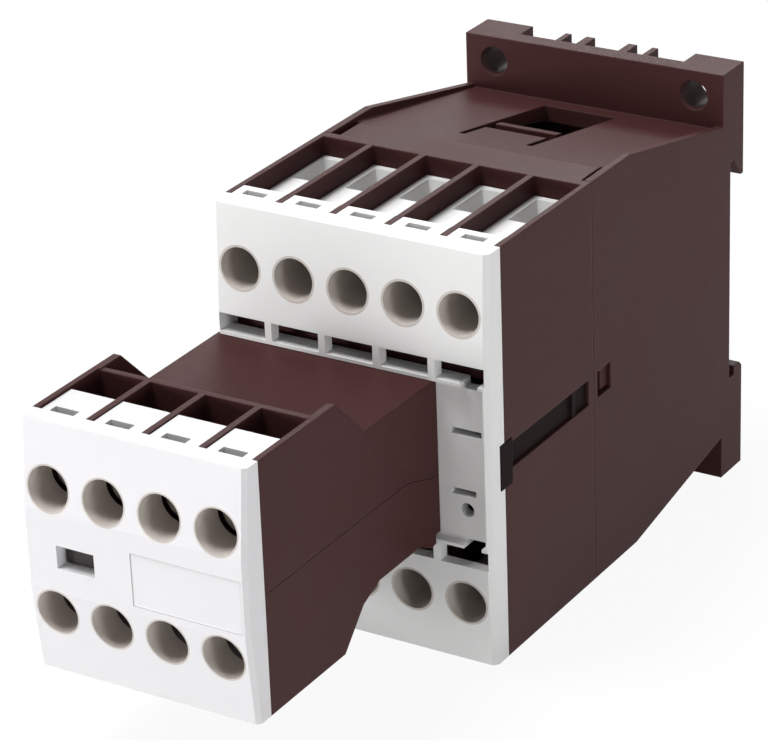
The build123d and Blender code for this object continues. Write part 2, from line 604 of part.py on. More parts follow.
def shading_rings():
    """The two short-circuit rings in the outer pole faces."""
    ring = block(-7.9, 7.9, CORE_FRONT - 1.15, CORE_FRONT - 0.1, 16.25, 20.95)
    ring -= block(-7.05, 7.05, CORE_FRONT - 2, CORE_FRONT + 1, 17.05, 20.05)
    return [ring, flipped(ring)]


def core_pads():
    """Two rubber pads behind the core."""
    pad = block(-8, 8, CORE_REAR - PAD_THICKNESS, CORE_REAR, 11, 19)
    pad = fillet(pad.edges().filter_by(Axis.Y), 1.5)
    return [pad, flipped(pad)]


def coil_bobbin():
    """Moulded former round the centre leg, with two terminal lugs."""
    rear = CORE_REAR + YOKE
    front = CORE_FRONT - 0.8
    hole_x = CORE_SIDE / 2 + 0.25
    hole_z = CENTRE_LEG + 0.25
    tube_x, tube_z = hole_x + BOBBIN_WALL, hole_z + BOBBIN_WALL
    body = block(-tube_x, tube_x, rear, front, -tube_z, tube_z)
    for d in (rear, front - FLANGE):
        flange = block(-16.5, 16.5, d, d + FLANGE, -13.6, 13.6)
        body += fillet(flange.edges().filter_by(Axis.Y), 2.0)
    lug = block(14, COIL_X + 2.2, front - FLANGE, front, 8.6, 15.0)
    body += lug + flipped(lug)
    return body - block(-hole_x, hole_x, rear - 1, front + 1, -hole_z, hole_z)


def coil_winding():
    """Wound copper, as one closed ring with rounded corners."""
    rear = CORE_REAR + YOKE + FLANGE
    front = CORE_FRONT - 0.8 - FLANGE
    tube_x = CORE_SIDE / 2 + 0.25 + BOBBIN_WALL
    tube_z = CENTRE_LEG + 0.25 + BOBBIN_WALL
    ring = block(-14.2, 14.2, rear, front, -13.2, 13.2)
    ring = fillet(ring.edges().filter_by(Axis.Y), 3.0)
    return ring - block(-tube_x, tube_x, rear - 1, front + 1, -tube_z, tube_z)


def coil_terminal():
    """Upper coil connection: clamp pad in the bay, blade to the bobbin and solder foot."""
    low = COIL_BLADE_LOW
    high = COIL_BLADE_LOW + CONTACT_STRIP
    pad_half = WASHER_SIDE / 2
    pad_low = TERMINAL_RISE - 6
    top = max(pad_low, high + 2.3) + 0.5
    pad = block(COIL_X - pad_half, COIL_X + pad_half, FLOOR_FRONT, STRIP_FRONT, pad_low, PAD_END)
    foot_front = CORE_FRONT - 0.8
    blade = side_profile([
        (STRIP_FRONT, top), (STRIP_FRONT, low), (foot_front + 0.8, low), (foot_front + 0.8, low - 2.5),
        (foot_front, low - 2.5), (foot_front, high), (FLOOR_FRONT, high), (FLOOR_FRONT, top),
    ], COIL_X - COIL_BLADE_HALF, COIL_X + COIL_BLADE_HALF)
    hole = rod(COIL_X, TERMINAL_RISE, SCREW_SHANK_RADIUS + FIT / 2, SPLIT_DEPTH, STRIP_FRONT + 1)
    return pad + blade - hole


def armature():
    """Moving E-shaped yoke, pinned to the contact carrier."""
    leg_front = ARMATURE_REAR + ARMATURE_LEG
    window_top = CORE_HALF_SPAN - OUTER_LEG
    side = CORE_SIDE / 2
    plate = side_profile([
        (ARMATURE_FRONT, CORE_HALF_SPAN), (ARMATURE_FRONT, -CORE_HALF_SPAN),
        (ARMATURE_REAR, -CORE_HALF_SPAN), (ARMATURE_REAR, -window_top), (leg_front, -window_top),
        (leg_front, -CENTRE_LEG), (ARMATURE_REAR, -CENTRE_LEG), (ARMATURE_REAR, CENTRE_LEG),
        (leg_front, CENTRE_LEG), (leg_front, window_top), (ARMATURE_REAR, window_top),
        (ARMATURE_REAR, CORE_HALF_SPAN),
    ], -side, side)
    pin_hole = Pos(0, -PIN_DEPTH, 0) * Rot(0, 90, 0) * Cylinder(PIN_RADIUS + 0.02, CORE_SIDE + 2)
    return plate - pin_hole


def armature_pin():
    """Cross pin through the armature and the two ears of the carrier."""
    return Pos(0, -PIN_DEPTH, 0) * Rot(0, 90, 0) * Cylinder(PIN_RADIUS, CORE_SIDE + 3.4)


def contact_carrier():
    """Sliding carrier: armature ears, two legs, four bridge frames, crossbar and coupling head."""
    foot_rear = ARMATURE_FRONT + TOUCH
    foot_front = FOOT_FRONT
    ear_in = CORE_SIDE / 2 + 0.15
    ear_out = ear_in + 1.6
    foot_half = RETURN_SPRING_X + 2.0
    body = block(-foot_half, foot_half, foot_rear, foot_front, -CARRIER_FOOT_RISE, CARRIER_FOOT_RISE)
    for side in (-1, 1):
        ear = block(side * ear_in, side * ear_out, PIN_DEPTH - 2.8, foot_rear + 0.5, -3.4, 3.4)
        ear -= Pos(0, -PIN_DEPTH, 0) * Rot(0, 90, 0) * Cylinder(PIN_RADIUS + 0.02, 40)
        body += ear
        tube_x = side * RETURN_SPRING_X
        body += rod(tube_x, 0, SPRING_TUBE_RADIUS, CORE_FRONT + TRAVEL + 1.2, foot_front)
        body -= rod(tube_x, 0, SPRING_BORE_RADIUS, CORE_FRONT, foot_front - 1.0)
    for x in (RIBS[1], RIBS[2]):
        body += block(x - LEG_HALF, x + LEG_HALF, foot_front - 0.5, BAR_REAR + 1, -5.0, 5.0)
    body += block(POLES[0] - CARRIER_HALF, POLES[-1] + CARRIER_HALF, BAR_REAR, BAR_FRONT,
                  -CROSSBAR_RISE, CROSSBAR_RISE)
    web_rear = BRIDGE_REAR - 1.9
    inside = CARRIER_HALF - CHEEK
    for x in POLES:
        frame_piece = block(x - CARRIER_HALF, x + CARRIER_HALF, web_rear, BAR_REAR + 0.5, -2.4, 2.4)
        frame_piece -= block(x - inside, x + inside, BRIDGE_REAR - TOUCH, BAR_REAR, -3, 3)
        body += frame_piece
        body -= rod(x, 0, 1.9, BAR_REAR - 1, BAR_REAR + SPRING_CUP)
    for half, rear, front in ((COUPLING_STEM_HALF, BAR_FRONT - 0.5, COUPLING_REAR + 0.1),
                              (COUPLING_HEAD_HALF, COUPLING_REAR, COUPLING_FRONT)):
        body += block(MODULE_CENTRE_X - half, MODULE_CENTRE_X + half, rear, front, -1.6, 1.6)
    return body


def return_springs():
    """Two coil springs, drawn at their closed length, on the front flange of the bobbin."""
    seat = CORE_FRONT - 0.8
    closed = SPLIT_DEPTH - 1.5 - TRAVEL - TOUCH - seat
    return [along_depth(spring(2.3, 0.55, 5, closed), x, 0, seat)
            for x in (-RETURN_SPRING_X, RETURN_SPRING_X)]


def fixed_contact(x):
    """Upper fixed contact of one pole: clamp pad, joggled strip and silver tip."""
    seat = FLOOR_FRONT + FIXED_SEAT
    pad_half = WASHER_SIDE / 2 - FIT
    pad_low = TERMINAL_RISE - 5
    top = max(pad_low, 15.5) + 0.5
    pad = block(x - pad_half, x + pad_half, FLOOR_FRONT, STRIP_FRONT, pad_low, PAD_END)
    strip = side_profile([
        (FLOOR_FRONT, top), (FLOOR_FRONT, 14.0), (seat, 14.0), (seat, 5.8),
        (seat + CONTACT_STRIP, 5.8), (seat + CONTACT_STRIP, 15.2), (STRIP_FRONT, 15.2), (STRIP_FRONT, top),
    ], x - 2.4, x + 2.4)
    tip = contact_tip(x, TIP_RISE, TIP_HALF, seat + CONTACT_STRIP - 0.1, FIXED_TIP_FACE)
    hole = rod(x, TERMINAL_RISE, SCREW_SHANK_RADIUS + FIT / 2, SPLIT_DEPTH, STRIP_FRONT + 1)
    return pad + strip + tip - hole


def contact_bridge(x):
    """Moving bridge of one pole, with a tip at each end and turned-up ends."""
    half = BRIDGE_SPAN / 2
    rise = 1.3
    strip = side_profile([
        (BRIDGE_REAR, -half + 1.2), (BRIDGE_REAR, half - 1.2), (BRIDGE_REAR + rise, half),
        (BRIDGE_FRONT + rise, half), (BRIDGE_FRONT, half - 1.2), (BRIDGE_FRONT, -half + 1.2),
        (BRIDGE_FRONT + rise, -half), (BRIDGE_REAR + rise, -half),
    ], x - BRIDGE_WIDTH / 2, x + BRIDGE_WIDTH / 2)
    for z in (-TIP_RISE, TIP_RISE):
        strip += contact_tip(x, z, TIP_HALF, BRIDGE_TIP_FACE, BRIDGE_REAR + 0.1)
    return strip


def contact_springs():
    """Four contact pressure springs, drawn at their closed length, seated in the crossbar."""
    front = BAR_REAR + SPRING_CUP
    length = front - BRIDGE_FRONT - OVERTRAVEL - TOUCH
    return [along_depth(spring(1.4, 0.5, 3, length), x, 0, front - length) for x in POLES]


def clamp_washers():
    """The ten clamp plates under the terminal screws."""
    pieces = []
    for x in TERMINALS:
        piece = along_depth(clamp_washer(), x, TERMINAL_RISE, WASHER_REAR)
        pieces += [piece, flipped(piece)]
    return pieces


def terminal_screws():
    """The upper row of terminal screws."""
    shank = HEAD_REAR - FLOOR_FRONT - 0.1
    return [along_depth(terminal_screw(shank), x, TERMINAL_RISE, HEAD_REAR) for x in TERMINALS]


def module_profile(shift):
    """Side outline of the auxiliary block: neck, cross wall and terminal block."""
    top = MODULE_HALF - 0.2
    return [(d, z + shift) for d, z in (
        (MODULE_REAR, NECK_HALF), (CROSS_WALL, NECK_HALF), (CROSS_WALL, top),
        (MODULE_COVER_DEPTH, top), (MODULE_COVER_DEPTH, -top), (CROSS_WALL, -top),
        (CROSS_WALL, -NECK_HALF), (MODULE_REAR, -NECK_HALF),
    )]


def module_shell():
    """The whole auxiliary housing before it is parted into its upper and lower shells."""
    drop = -MODULE_DROP
    body = side_profile(module_profile(drop), MODULE_LEFT, MODULE_RIGHT)
    fin_top = [(CROSS_WALL - 11, 8), (CROSS_WALL - 11, NECK_HALF), (CROSS_WALL - 3.9, MODULE_HALF),
               (MODULE_COVER_DEPTH, MODULE_HALF), (MODULE_COVER_DEPTH, 8)]
    fin_low = [(CROSS_WALL - 14.8, -8), (CROSS_WALL - 14.8, -NECK_HALF), (CROSS_WALL - 13.3, -NECK_HALF),
               (CROSS_WALL - 9, -NECK_HALF - 1.7), (CROSS_WALL - 3.8, -MODULE_HALF),
               (MODULE_COVER_DEPTH, -MODULE_HALF), (MODULE_COVER_DEPTH, -8)]
    foot = [(BODY_DEPTH + SEAM, -8), (BODY_DEPTH + SEAM, -NECK_HALF - 1.5),
            (BODY_DEPTH + 1.6, -NECK_HALF - 1.5), (BODY_DEPTH + 4.5, -NECK_HALF), (BODY_DEPTH + 4.5, -8)]
    for left, right in ((MODULE_LEFT, MODULE_LEFT + 1.2), (MODULE_RIGHT - 1.2, MODULE_RIGHT)):
        for outline in (fin_top, fin_low, foot):
            body += side_profile([(d, z + drop) for d, z in outline], left, right)
    wire_top = MODULE_HALF + 1
    pad_half = 12.9
    leg_half = 7.3
    for x in POLES:
        left, right = module_bay(x)
        body -= block(left, right, MODULE_REAR + WALL, MODULE_PAD_REAR + 1, drop - leg_half, drop + leg_half)
        body -= block(left, right, MODULE_PAD_REAR, MODULE_COVER_DEPTH + 1, drop - pad_half, drop + pad_half)
        body -= block(left, right, CROSS_WALL + RIB, MODULE_COVER_DEPTH + 1, drop - wire_top, drop + wire_top)
    left, right = MODULE_LEFT + BAY_WALL, MODULE_RIGHT - BAY_WALL
    way = 2.6
    body -= block(left, right, MODULE_REAR + WALL, MODULE_COVER_DEPTH + 1, drop - way, drop + way)
    body -= block(MODULE_CENTRE_X - 4.1, MODULE_CENTRE_X + 4.1, MODULE_REAR - 1, MODULE_REAR + WALL + 1,
                  -3.5, 3.5)
    for x in (POLES[0], POLES[-1]):
        for low, high, tip_low, tip_high in ((8.5, 9.6, 9.5, 10.2), (-9.6, -8.5, -10.2, -9.5)):
            body += block(x - 1.5, x + 1.5, FIELD_REAR - 1.5, MODULE_REAR + 0.5, low, high)
            body += block(x - 1.5, x + 1.5, FIELD_REAR - 1.5, FIELD_REAR - 0.3, tip_low, tip_high)
    return body


def below_parting(gap):
    """The space under the parting line of the auxiliary housing."""
    line = PARTING_RISE - gap
    low = line - PARTING_STEP
    rear, front = SPLIT_DEPTH, MODULE_FACE + 10
    return side_profile([
        (rear, -OUTSIDE), (front, -OUTSIDE), (front, line), (MODULE_REAR + 8.2, line),
        (MODULE_REAR + 2.2, low), (rear, low),
    ], -HALF_WIDTH - 1, HALF_WIDTH + 1)


def module_form(rear):
    """The outer form of the auxiliary front, from a depth to its slightly bowed face."""
    edge = MODULE_FACE - MODULE_FACE_SETBACK
    return side_profile([(d, z - MODULE_DROP) for d, z in (
        (rear, MODULE_HALF), (edge, MODULE_HALF), (MODULE_FACE, MODULE_FACE_FLAT),
        (MODULE_FACE, -MODULE_FACE_FLAT), (edge, -MODULE_HALF), (rear, -MODULE_HALF),
    )], MODULE_LEFT, MODULE_RIGHT)


def module_moulding():
    """The whole pale front of the auxiliary block, before it is parted like the main cover."""
    drop = -MODULE_DROP
    half = MODULE_HALF
    form = module_form(MODULE_COVER_DEPTH)
    front_edges = form.edges().filter_by(Axis.Z, tolerance=8).group_by(Axis.Y)[0]
    body = chamfer(front_edges, 0.6)
    left, right = MODULE_LEFT + BAY_WALL, MODULE_RIGHT - BAY_WALL
    body -= block(left, right, MODULE_COVER_DEPTH - 1, MODULE_FACE - MODULE_COVER_FACE,
                  drop - half + COVER_LIP, drop + half - COVER_LIP)
    for x in POLES:
        tab_left, tab_right = module_bay(x, FIT)
        for side in (-1, 1):
            outer = drop + side * half
            tab = block(tab_left, tab_right, MODULE_FACE - 11.7, MODULE_COVER_DEPTH,
                        outer - side * 0.4, outer - side * (0.4 + COVER_LIP))
            tab -= block(x - 2.2, x + 1.7, MODULE_FACE - 6.4, MODULE_FACE - 4.9, drop, outer)
            body += tab
            z = drop + side * MODULE_TERMINAL_RISE
            body -= rod(x, z, TUBE_RADIUS, MODULE_COVER_DEPTH, MODULE_FACE + 1)
    body -= block(INDICATOR_X - INDICATOR_HALF, INDICATOR_X + INDICATOR_HALF, MODULE_FACE - 5,
                  MODULE_FACE + 1, INDICATOR_LOW, INDICATOR_HIGH)
    body -= block(MODULE_RIGHT - 18.5, MODULE_RIGHT - BAY_WALL, MODULE_FACE - 0.2, MODULE_FACE + 1, -5.4, 2.6)
    return body


def module_row():
    """The space of the upper row of plates in the auxiliary front."""
    return block(MODULE_LEFT - 1, MODULE_RIGHT + 1, CROSS_WALL, MODULE_FACE + 1,
                 MODULE_ROW_EDGE - MODULE_DROP, OUTSIDE)


def module_cover(moulding):
    """Centre panel of the auxiliary front, with the indicator window and the label field."""
    return moulding - module_row() - aux_lower(module_row())


def module_plates(moulding):
    """The eight plates of the auxiliary front, one round each driver tube."""
    edges = [MODULE_LEFT - 1] + MODULE_RIBS + [MODULE_RIGHT + 1]
    plates = []
    for left, right in zip(edges, edges[1:]):
        column = block(left, right, CROSS_WALL, MODULE_FACE + 1, -OUTSIDE, OUTSIDE)
        cell = column & module_row()
        plates += [moulding & cell, moulding & aux_lower(cell)]
    return plates


def module_tubes():
    """The eight driver tubes of the auxiliary block, flush with its face."""
    rear = MODULE_HEAD_FRONT + 3 * FIT
    form = module_form(rear)
    tubes = []
    for x in POLES:
        z = MODULE_TERMINAL_RISE - MODULE_DROP
        tube = form & rod(x, z, TUBE_RADIUS, rear, MODULE_FACE + 1)
        tube -= rod(x, z, MODULE_HOLE_RADIUS, rear - 1, MODULE_FACE + 1)
        tubes += [tube, aux_lower(tube)]
    return tubes


def aux_carrier():
    """Slider of the auxiliary block: coupling jaw, crossbar, four frames and indicator plunger."""
    drop = -MODULE_DROP
    x = MODULE_CENTRE_X
    jaw_rear = COUPLING_REAR - 1.6
    jaw_front = COUPLING_FRONT + 2 * FIT
    jaw_in = COUPLING_HEAD_HALF + 2 * FIT
    jaw_out = jaw_in + 1.6
    body = block(x - jaw_out, x + jaw_out, jaw_front, jaw_front + 1.6, -3, 3)
    for side in (-1, 1):
        body += block(x + side * jaw_in, x + side * jaw_out, jaw_rear, jaw_front + 0.4, -3, 3)
        hook_in = COUPLING_STEM_HALF + 0.25
        body += block(x + side * hook_in, x + side * (jaw_in + 0.1), jaw_rear, COUPLING_REAR - 0.3, -3, 3)
    body += block(x - 2.0, x + 2.0, jaw_front + 1.4, MODULE_BAR_REAR + 0.5, -2.4, 1.6)
    inner = AUX_BRIDGE_WIDTH / 2 + 0.15
    outer = inner + AUX_CHEEK
    body += block(POLES[0] - outer, POLES[-1] + outer, MODULE_BAR_REAR, MODULE_BAR_FRONT,
                  drop - 2.1, drop + 2.1)
    for pole, closed_at_rest in zip(POLES, AUX_CLOSED):
        frame_piece = block(pole - outer, pole + outer, MODULE_BAR_FRONT - 0.5,
                            AUX_OPEN_CUP + AUX_FRAME_END, drop - 2, drop + 2)
        frame_piece -= block(pole - inner, pole + inner, MODULE_BAR_FRONT, AUX_OPEN_CUP, drop - 3, drop + 3)
        if closed_at_rest:
            stop = AUX_CLOSED_FRONT + OVERTRAVEL + FIT
            frame_piece += block(pole - outer, pole + outer, stop, stop + 1.25, drop - 2, drop + 2)
            frame_piece += block(pole - outer, pole + outer, AUX_CLOSED_CUP - 0.8, AUX_CLOSED_CUP,
                                 drop - 2, drop + 2)
        else:
            frame_piece += block(pole - outer, pole + outer, AUX_OPEN_REAR - 1.35,
                                 AUX_OPEN_REAR - TOUCH, drop - 2, drop + 2)
        body += frame_piece
    rod_x = RIBS[0] - FIT
    tip_rear = MODULE_COVER_DEPTH - 1.8
    body += block(rod_x - 1.5, rod_x + 1.5, MODULE_BAR_FRONT - 0.5, tip_rear + 0.4, drop - 1.6, drop + 1.6)
    half = INDICATOR_HALF - INDICATOR_FIT
    body += block(INDICATOR_X - half, INDICATOR_X + half, tip_rear, MODULE_FACE - 1.9,
                  INDICATOR_LOW + INDICATOR_FIT, INDICATOR_HIGH - INDICATOR_FIT)
    return body


def aux_fixed_contact(x, closed_at_rest):
    """Upper fixed contact of one auxiliary pole."""
    drop = -MODULE_DROP
    pad = block(x - 3.0, x + 3.0, MODULE_PAD_REAR, MODULE_PAD_REAR + AUX_STRIP,
                drop + AUX_LEG_RISE, drop + 12.8)
    inward = AUX_CLOSED_FIXED if closed_at_rest else AUX_OPEN_FIXED
    outer = AUX_LEG_RISE + AUX_STRIP
    leg = side_profile([(d, z + drop) for d, z in (
        (MODULE_PAD_REAR + AUX_STRIP, AUX_LEG_RISE), (MODULE_PAD_REAR + AUX_STRIP, outer),
        (inward, outer), (inward, 2.8), (inward + AUX_STRIP, 2.8), (inward + AUX_STRIP, AUX_LEG_RISE),
    )], x - 1.6, x + 1.6)
    z = drop + AUX_TIP_RISE
    if closed_at_rest:
        tip = contact_tip(x, z, AUX_TIP_HALF, AUX_CLOSED_TIP, AUX_CLOSED_FIXED + 0.1)
    else:
        tip = contact_tip(x, z, AUX_TIP_HALF, AUX_OPEN_FIXED + AUX_STRIP - 0.1, AUX_OPEN_TIP)
    hole = rod(x, drop + MODULE_TERMINAL_RISE, SCREW_SHANK_RADIUS + FIT / 2, MODULE_PAD_REAR - 1,
               MODULE_PAD_REAR + 2)
    return pad + leg + tip - hole


def aux_lower(shape):
    """The same piece below the middle of the auxiliary block."""
    return mirror(shape, about=Plane.XY.offset(-MODULE_DROP))


def aux_bridge(x, closed_at_rest):
    """Moving bridge of one auxiliary pole."""
    drop = -MODULE_DROP
    half = AUX_BRIDGE_SPAN / 2
    rear = AUX_CLOSED_REAR if closed_at_rest else AUX_OPEN_REAR
    front = rear + AUX_BRIDGE_THICKNESS
    strip = block(x - AUX_BRIDGE_WIDTH / 2, x + AUX_BRIDGE_WIDTH / 2, rear, front, drop - half, drop + half)
    strip = chamfer(strip.edges().filter_by(Axis.Y), 0.5)
    for z in (drop - AUX_TIP_RISE, drop + AUX_TIP_RISE):
        if closed_at_rest:
            strip += contact_tip(x, z, AUX_TIP_HALF, front - 0.1, front + AUX_TIP_HEIGHT)
        else:
            strip += contact_tip(x, z, AUX_TIP_HALF, rear - AUX_TIP_HEIGHT, rear + 0.1)
    return strip


def aux_springs():
    """Four contact springs of the auxiliary block."""
    pieces = []
    for x, closed_at_rest in zip(POLES, AUX_CLOSED):
        if closed_at_rest:
            seat, end = AUX_CLOSED_CUP, AUX_CLOSED_REAR - TOUCH
        else:
            seat, end = AUX_OPEN_FRONT + OVERTRAVEL + TOUCH, AUX_OPEN_CUP
        pieces.append(along_depth(spring(1.0, 0.4, 3, end - seat), x, -MODULE_DROP, seat))
    return pieces


def aux_washers():
    """The eight clamp plates of the auxiliary block."""
    pieces = []
    for x in POLES:
        piece = along_depth(clamp_washer(), x, MODULE_TERMINAL_RISE - MODULE_DROP, MODULE_WASHER_REAR)
        pieces += [piece, aux_lower(piece)]
    return pieces


def aux_screws():
    """The upper row of screws of the auxiliary block."""
    head_rear = MODULE_WASHER_REAR + WASHER_THICKNESS
    shank = head_rear - MODULE_PAD_REAR - 0.1
    z = MODULE_TERMINAL_RISE - MODULE_DROP
    return [along_depth(terminal_screw(shank), x, z, head_rear) for x in POLES]


def export(name, pieces):
    """Writes one node: a single solid, or a group of separate solids."""
    group = pieces if isinstance(pieces, list) else [pieces]
    solids = [solid for piece in group for solid in piece.solids()]
    shape = solids[0] if len(solids) == 1 else Compound(children=solids)
    export_step(shape, os.path.join("parts", name + ".step"))


def main():
    os.makedirs("parts", exist_ok=True)
    export("mounting_base", mounting_base())
    export("rail_latch", rail_latch())
    export("rail_latch_spring", rail_latch_spring())
    export("contact_chamber", contact_chamber())
    moulding = cover_moulding()
    export("terminal_cover", terminal_cover(moulding))
    export("shroud_plates", shroud_plates(moulding))
    export("driver_tubes", driver_tubes())
    export("wire_funnels", wire_funnels())
    export("side_clips", side_clips())
    export("magnet_core", magnet_core())
    export("shading_rings", shading_rings())
    export("core_pads", core_pads())
    export("coil_bobbin", coil_bobbin())
    export("coil_winding", coil_winding())
    export("coil_terminal_top", coil_terminal())
    export("coil_terminal_bottom", flipped(coil_terminal()))
    export("armature", armature())
    export("armature_pin", armature_pin())
    export("return_springs", return_springs())
    export("contact_carrier", contact_carrier())
    export("contact_springs", contact_springs())
    for number, x in enumerate(POLES, start=1):
        export("fixed_contact_top_%d" % number, fixed_contact(x))
        export("fixed_contact_bottom_%d" % number, flipped(fixed_contact(x)))
        export("contact_bridge_%d" % number, contact_bridge(x))
    export("clamp_washers", clamp_washers())
    upper_screws = terminal_screws()
    export("terminal_screws_top", upper_screws)
    export("terminal_screws_bottom", [flipped(screw) for screw in upper_screws])
    shell = module_shell()
    export("aux_housing_upper", shell - below_parting(0))
    export("aux_housing_lower", shell & below_parting(SEAM))
    front = module_moulding()
    export("aux_front_cover", module_cover(front))
    export("aux_shroud_plates", module_plates(front))
    export("aux_driver_tubes", module_tubes())
    export("aux_carrier", aux_carrier())
    export("aux_contact_springs", aux_springs())
    for number, (x, closed_at_rest) in enumerate(zip(POLES, AUX_CLOSED), start=1):
        upper = aux_fixed_contact(x, closed_at_rest)
        export("aux_fixed_contact_top_%d" % number, upper)
        export("aux_fixed_contact_bottom_%d" % number, aux_lower(upper))
        export("aux_bridge_%d" % number, aux_bridge(x, closed_at_rest))
    export("aux_clamp_washers", aux_washers())
    upper_aux_screws = aux_screws()
    export("aux_screws_top", upper_aux_screws)
    export("aux_screws_bottom", [aux_lower(screw) for screw in upper_aux_screws])


main()
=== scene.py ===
"""A contactor with a front auxiliary contact block: finishes, small pieces and studio."""
import math

import bmesh
import bpy
from mathutils import Matrix, Vector


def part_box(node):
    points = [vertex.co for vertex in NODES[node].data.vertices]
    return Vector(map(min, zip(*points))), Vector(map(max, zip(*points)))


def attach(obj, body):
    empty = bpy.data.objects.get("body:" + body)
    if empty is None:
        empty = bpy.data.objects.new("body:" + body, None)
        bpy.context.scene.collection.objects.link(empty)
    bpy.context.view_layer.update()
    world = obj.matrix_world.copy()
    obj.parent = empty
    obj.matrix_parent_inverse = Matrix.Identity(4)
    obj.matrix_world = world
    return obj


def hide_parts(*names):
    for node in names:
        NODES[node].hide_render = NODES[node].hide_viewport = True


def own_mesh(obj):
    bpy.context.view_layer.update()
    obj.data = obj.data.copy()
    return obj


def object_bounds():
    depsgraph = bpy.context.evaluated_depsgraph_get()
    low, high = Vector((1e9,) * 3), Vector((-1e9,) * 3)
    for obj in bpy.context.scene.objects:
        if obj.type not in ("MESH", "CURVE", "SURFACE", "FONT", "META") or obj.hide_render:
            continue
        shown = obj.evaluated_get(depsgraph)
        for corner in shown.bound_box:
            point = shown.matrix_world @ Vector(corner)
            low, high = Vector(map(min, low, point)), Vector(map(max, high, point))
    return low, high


bl_info = {
    "name": "Contactor Finish",
    "version": (1, 0, 0),
    "blender": (4, 5, 0),
    "location": "View3D > Sidebar > Contactor",
    "description": "Dresses a contactor and its auxiliary contact block with plastic, metal and a studio",
    "category": "Object",
}

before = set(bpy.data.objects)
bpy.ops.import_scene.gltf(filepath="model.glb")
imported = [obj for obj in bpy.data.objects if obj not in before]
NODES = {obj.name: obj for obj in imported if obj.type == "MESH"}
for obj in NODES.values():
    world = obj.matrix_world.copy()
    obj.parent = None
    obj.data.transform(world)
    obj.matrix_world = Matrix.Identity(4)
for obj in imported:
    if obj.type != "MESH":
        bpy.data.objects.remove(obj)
CAD_LOW, CAD_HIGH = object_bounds()
MM = 0.001
FULL_TURN = 2 * math.pi
RIGHT_ANGLE = math.radians(90)
WELD_DISTANCE = 0.001 * MM

# The part: four poles and a fifth column of terminals
POLE_COUNT = 4
TERMINAL_COUNT = 5
PITCH = 9.0 * MM

# Marks in the surfaces, as lengths
FLOW_CLOUD = 14 * MM
SPARK_GRAIN = 0.22 * MM
SPARK_SPECKLE = 0.75 * MM
# Size of the patches of painted highlight on plastic edges
HIGHLIGHT_PATCH_SIZE = 2.5 * MM
PLATING_CLOUD = 2.2 * MM
STRIP_CLOUD = 3.0 * MM
SHEET_CLOUD = 5 * MM
WIRE_CLOUD = 4 * MM
RUBBER_CLOUD = 3 * MM
RUBBER_GRAIN = 0.4 * MM
PLASTIC_EDGE = 0.3 * MM
METAL_EDGE = 0.15 * MM
STRIP_EDGE = 0.12 * MM
METAL_MARK_DEPTH = 0.02 * MM
SHEET_THICKNESS = 0.5 * MM
SHEET_JOINT_DEPTH = 0.05 * MM
WIRE_PITCH = 0.28 * MM
WIRE_DEPTH = 0.1 * MM
RUBBER_DEPTH = 0.03 * MM
BEVEL_SAMPLES = 6

# Heights over the middle up to which the strips carry silver
MAIN_SILVER = 9.4 * MM
AUX_SILVER = 5.4 * MM

# Colours that a user has no need to change
SHEET_STEEL = (0.40, 0.39, 0.38)
SHEET_JOINT = (0.05, 0.045, 0.04)
SPRING_STEEL = (0.55, 0.55, 0.56)
ENAMEL = (0.50, 0.20, 0.08)
BOBBIN_BLACK = (0.05, 0.05, 0.055)
PAD_BLACK = (0.02, 0.02, 0.02)
PLATING_STAIN = (0.20, 0.16, 0.12)

# Screws: how round the head's rim is drawn, and how far each screw is turned
SCREW_SEGMENTS = 40
RIM_WIDTH_SHARE = 0.7
RIM_DEPTH_SHARE = 0.3
TURN_BY_ROW = 47
TURN_BY_SCREW = 71
HALF_TURN_DEGREES = 180

# Springs: each coil is its radius, its wire's thickness and its number of open turns
RETURN_SPRING_X = 14.0 * MM
RETURN_COIL = (2.3 * MM, 0.55 * MM, 5)
CONTACT_COIL = (1.4 * MM, 0.5 * MM, 4)
AUX_COIL = (1.0 * MM, 0.4 * MM, 4)
LATCH_COIL = (0.95 * MM, 0.4 * MM, 5)
AUX_OPEN_LENGTH = 4.4 * MM
AUX_CLOSED_LENGTH = 4.3 * MM
SPRING_STEPS = 16
WIRE_SIDES = 8

# The bare label tag in the block's front plate
TAG_LEFT, TAG_RIGHT = -4.9 * MM, 12.5 * MM
TAG_FOOT, TAG_TOP = -5.3 * MM, 2.5 * MM
TAG_FIELD_DEPTH = 0.2 * MM
TAG_THICKNESS = 0.12 * MM
TAG_RIM = 0.18 * MM
TAG_SINK = 0.06 * MM

# Studio: each lamp is its place from the middle of the part and its width, in metres
KEY_LAMP = ((-0.50, -0.34, 1.60), 0.75)
FRONT_LAMP = ((-1.05, -1.35, 0.12), 0.42)
RIGHT_LAMP = ((1.50, -0.50, 0.15), 0.42)
BACK_LAMP = ((-0.60, 1.30, 0.95), 0.60)
WHITE = (1, 1, 1, 1)
FLOOR_HALF_WIDTH = 6.0
FLOOR_GAP = 0.05 * MM
FLOOR_PAINT = (0.9, 0.9, 0.9)
FLOOR_ROUGHNESS = 0.9
FLOOR_WHITE_SHARE = 0.93
IMAGE_WIDTH = 768
SENSOR_WIDTH = 36.0
NEAREST_SEEN = 0.01


# Shader arithmetic

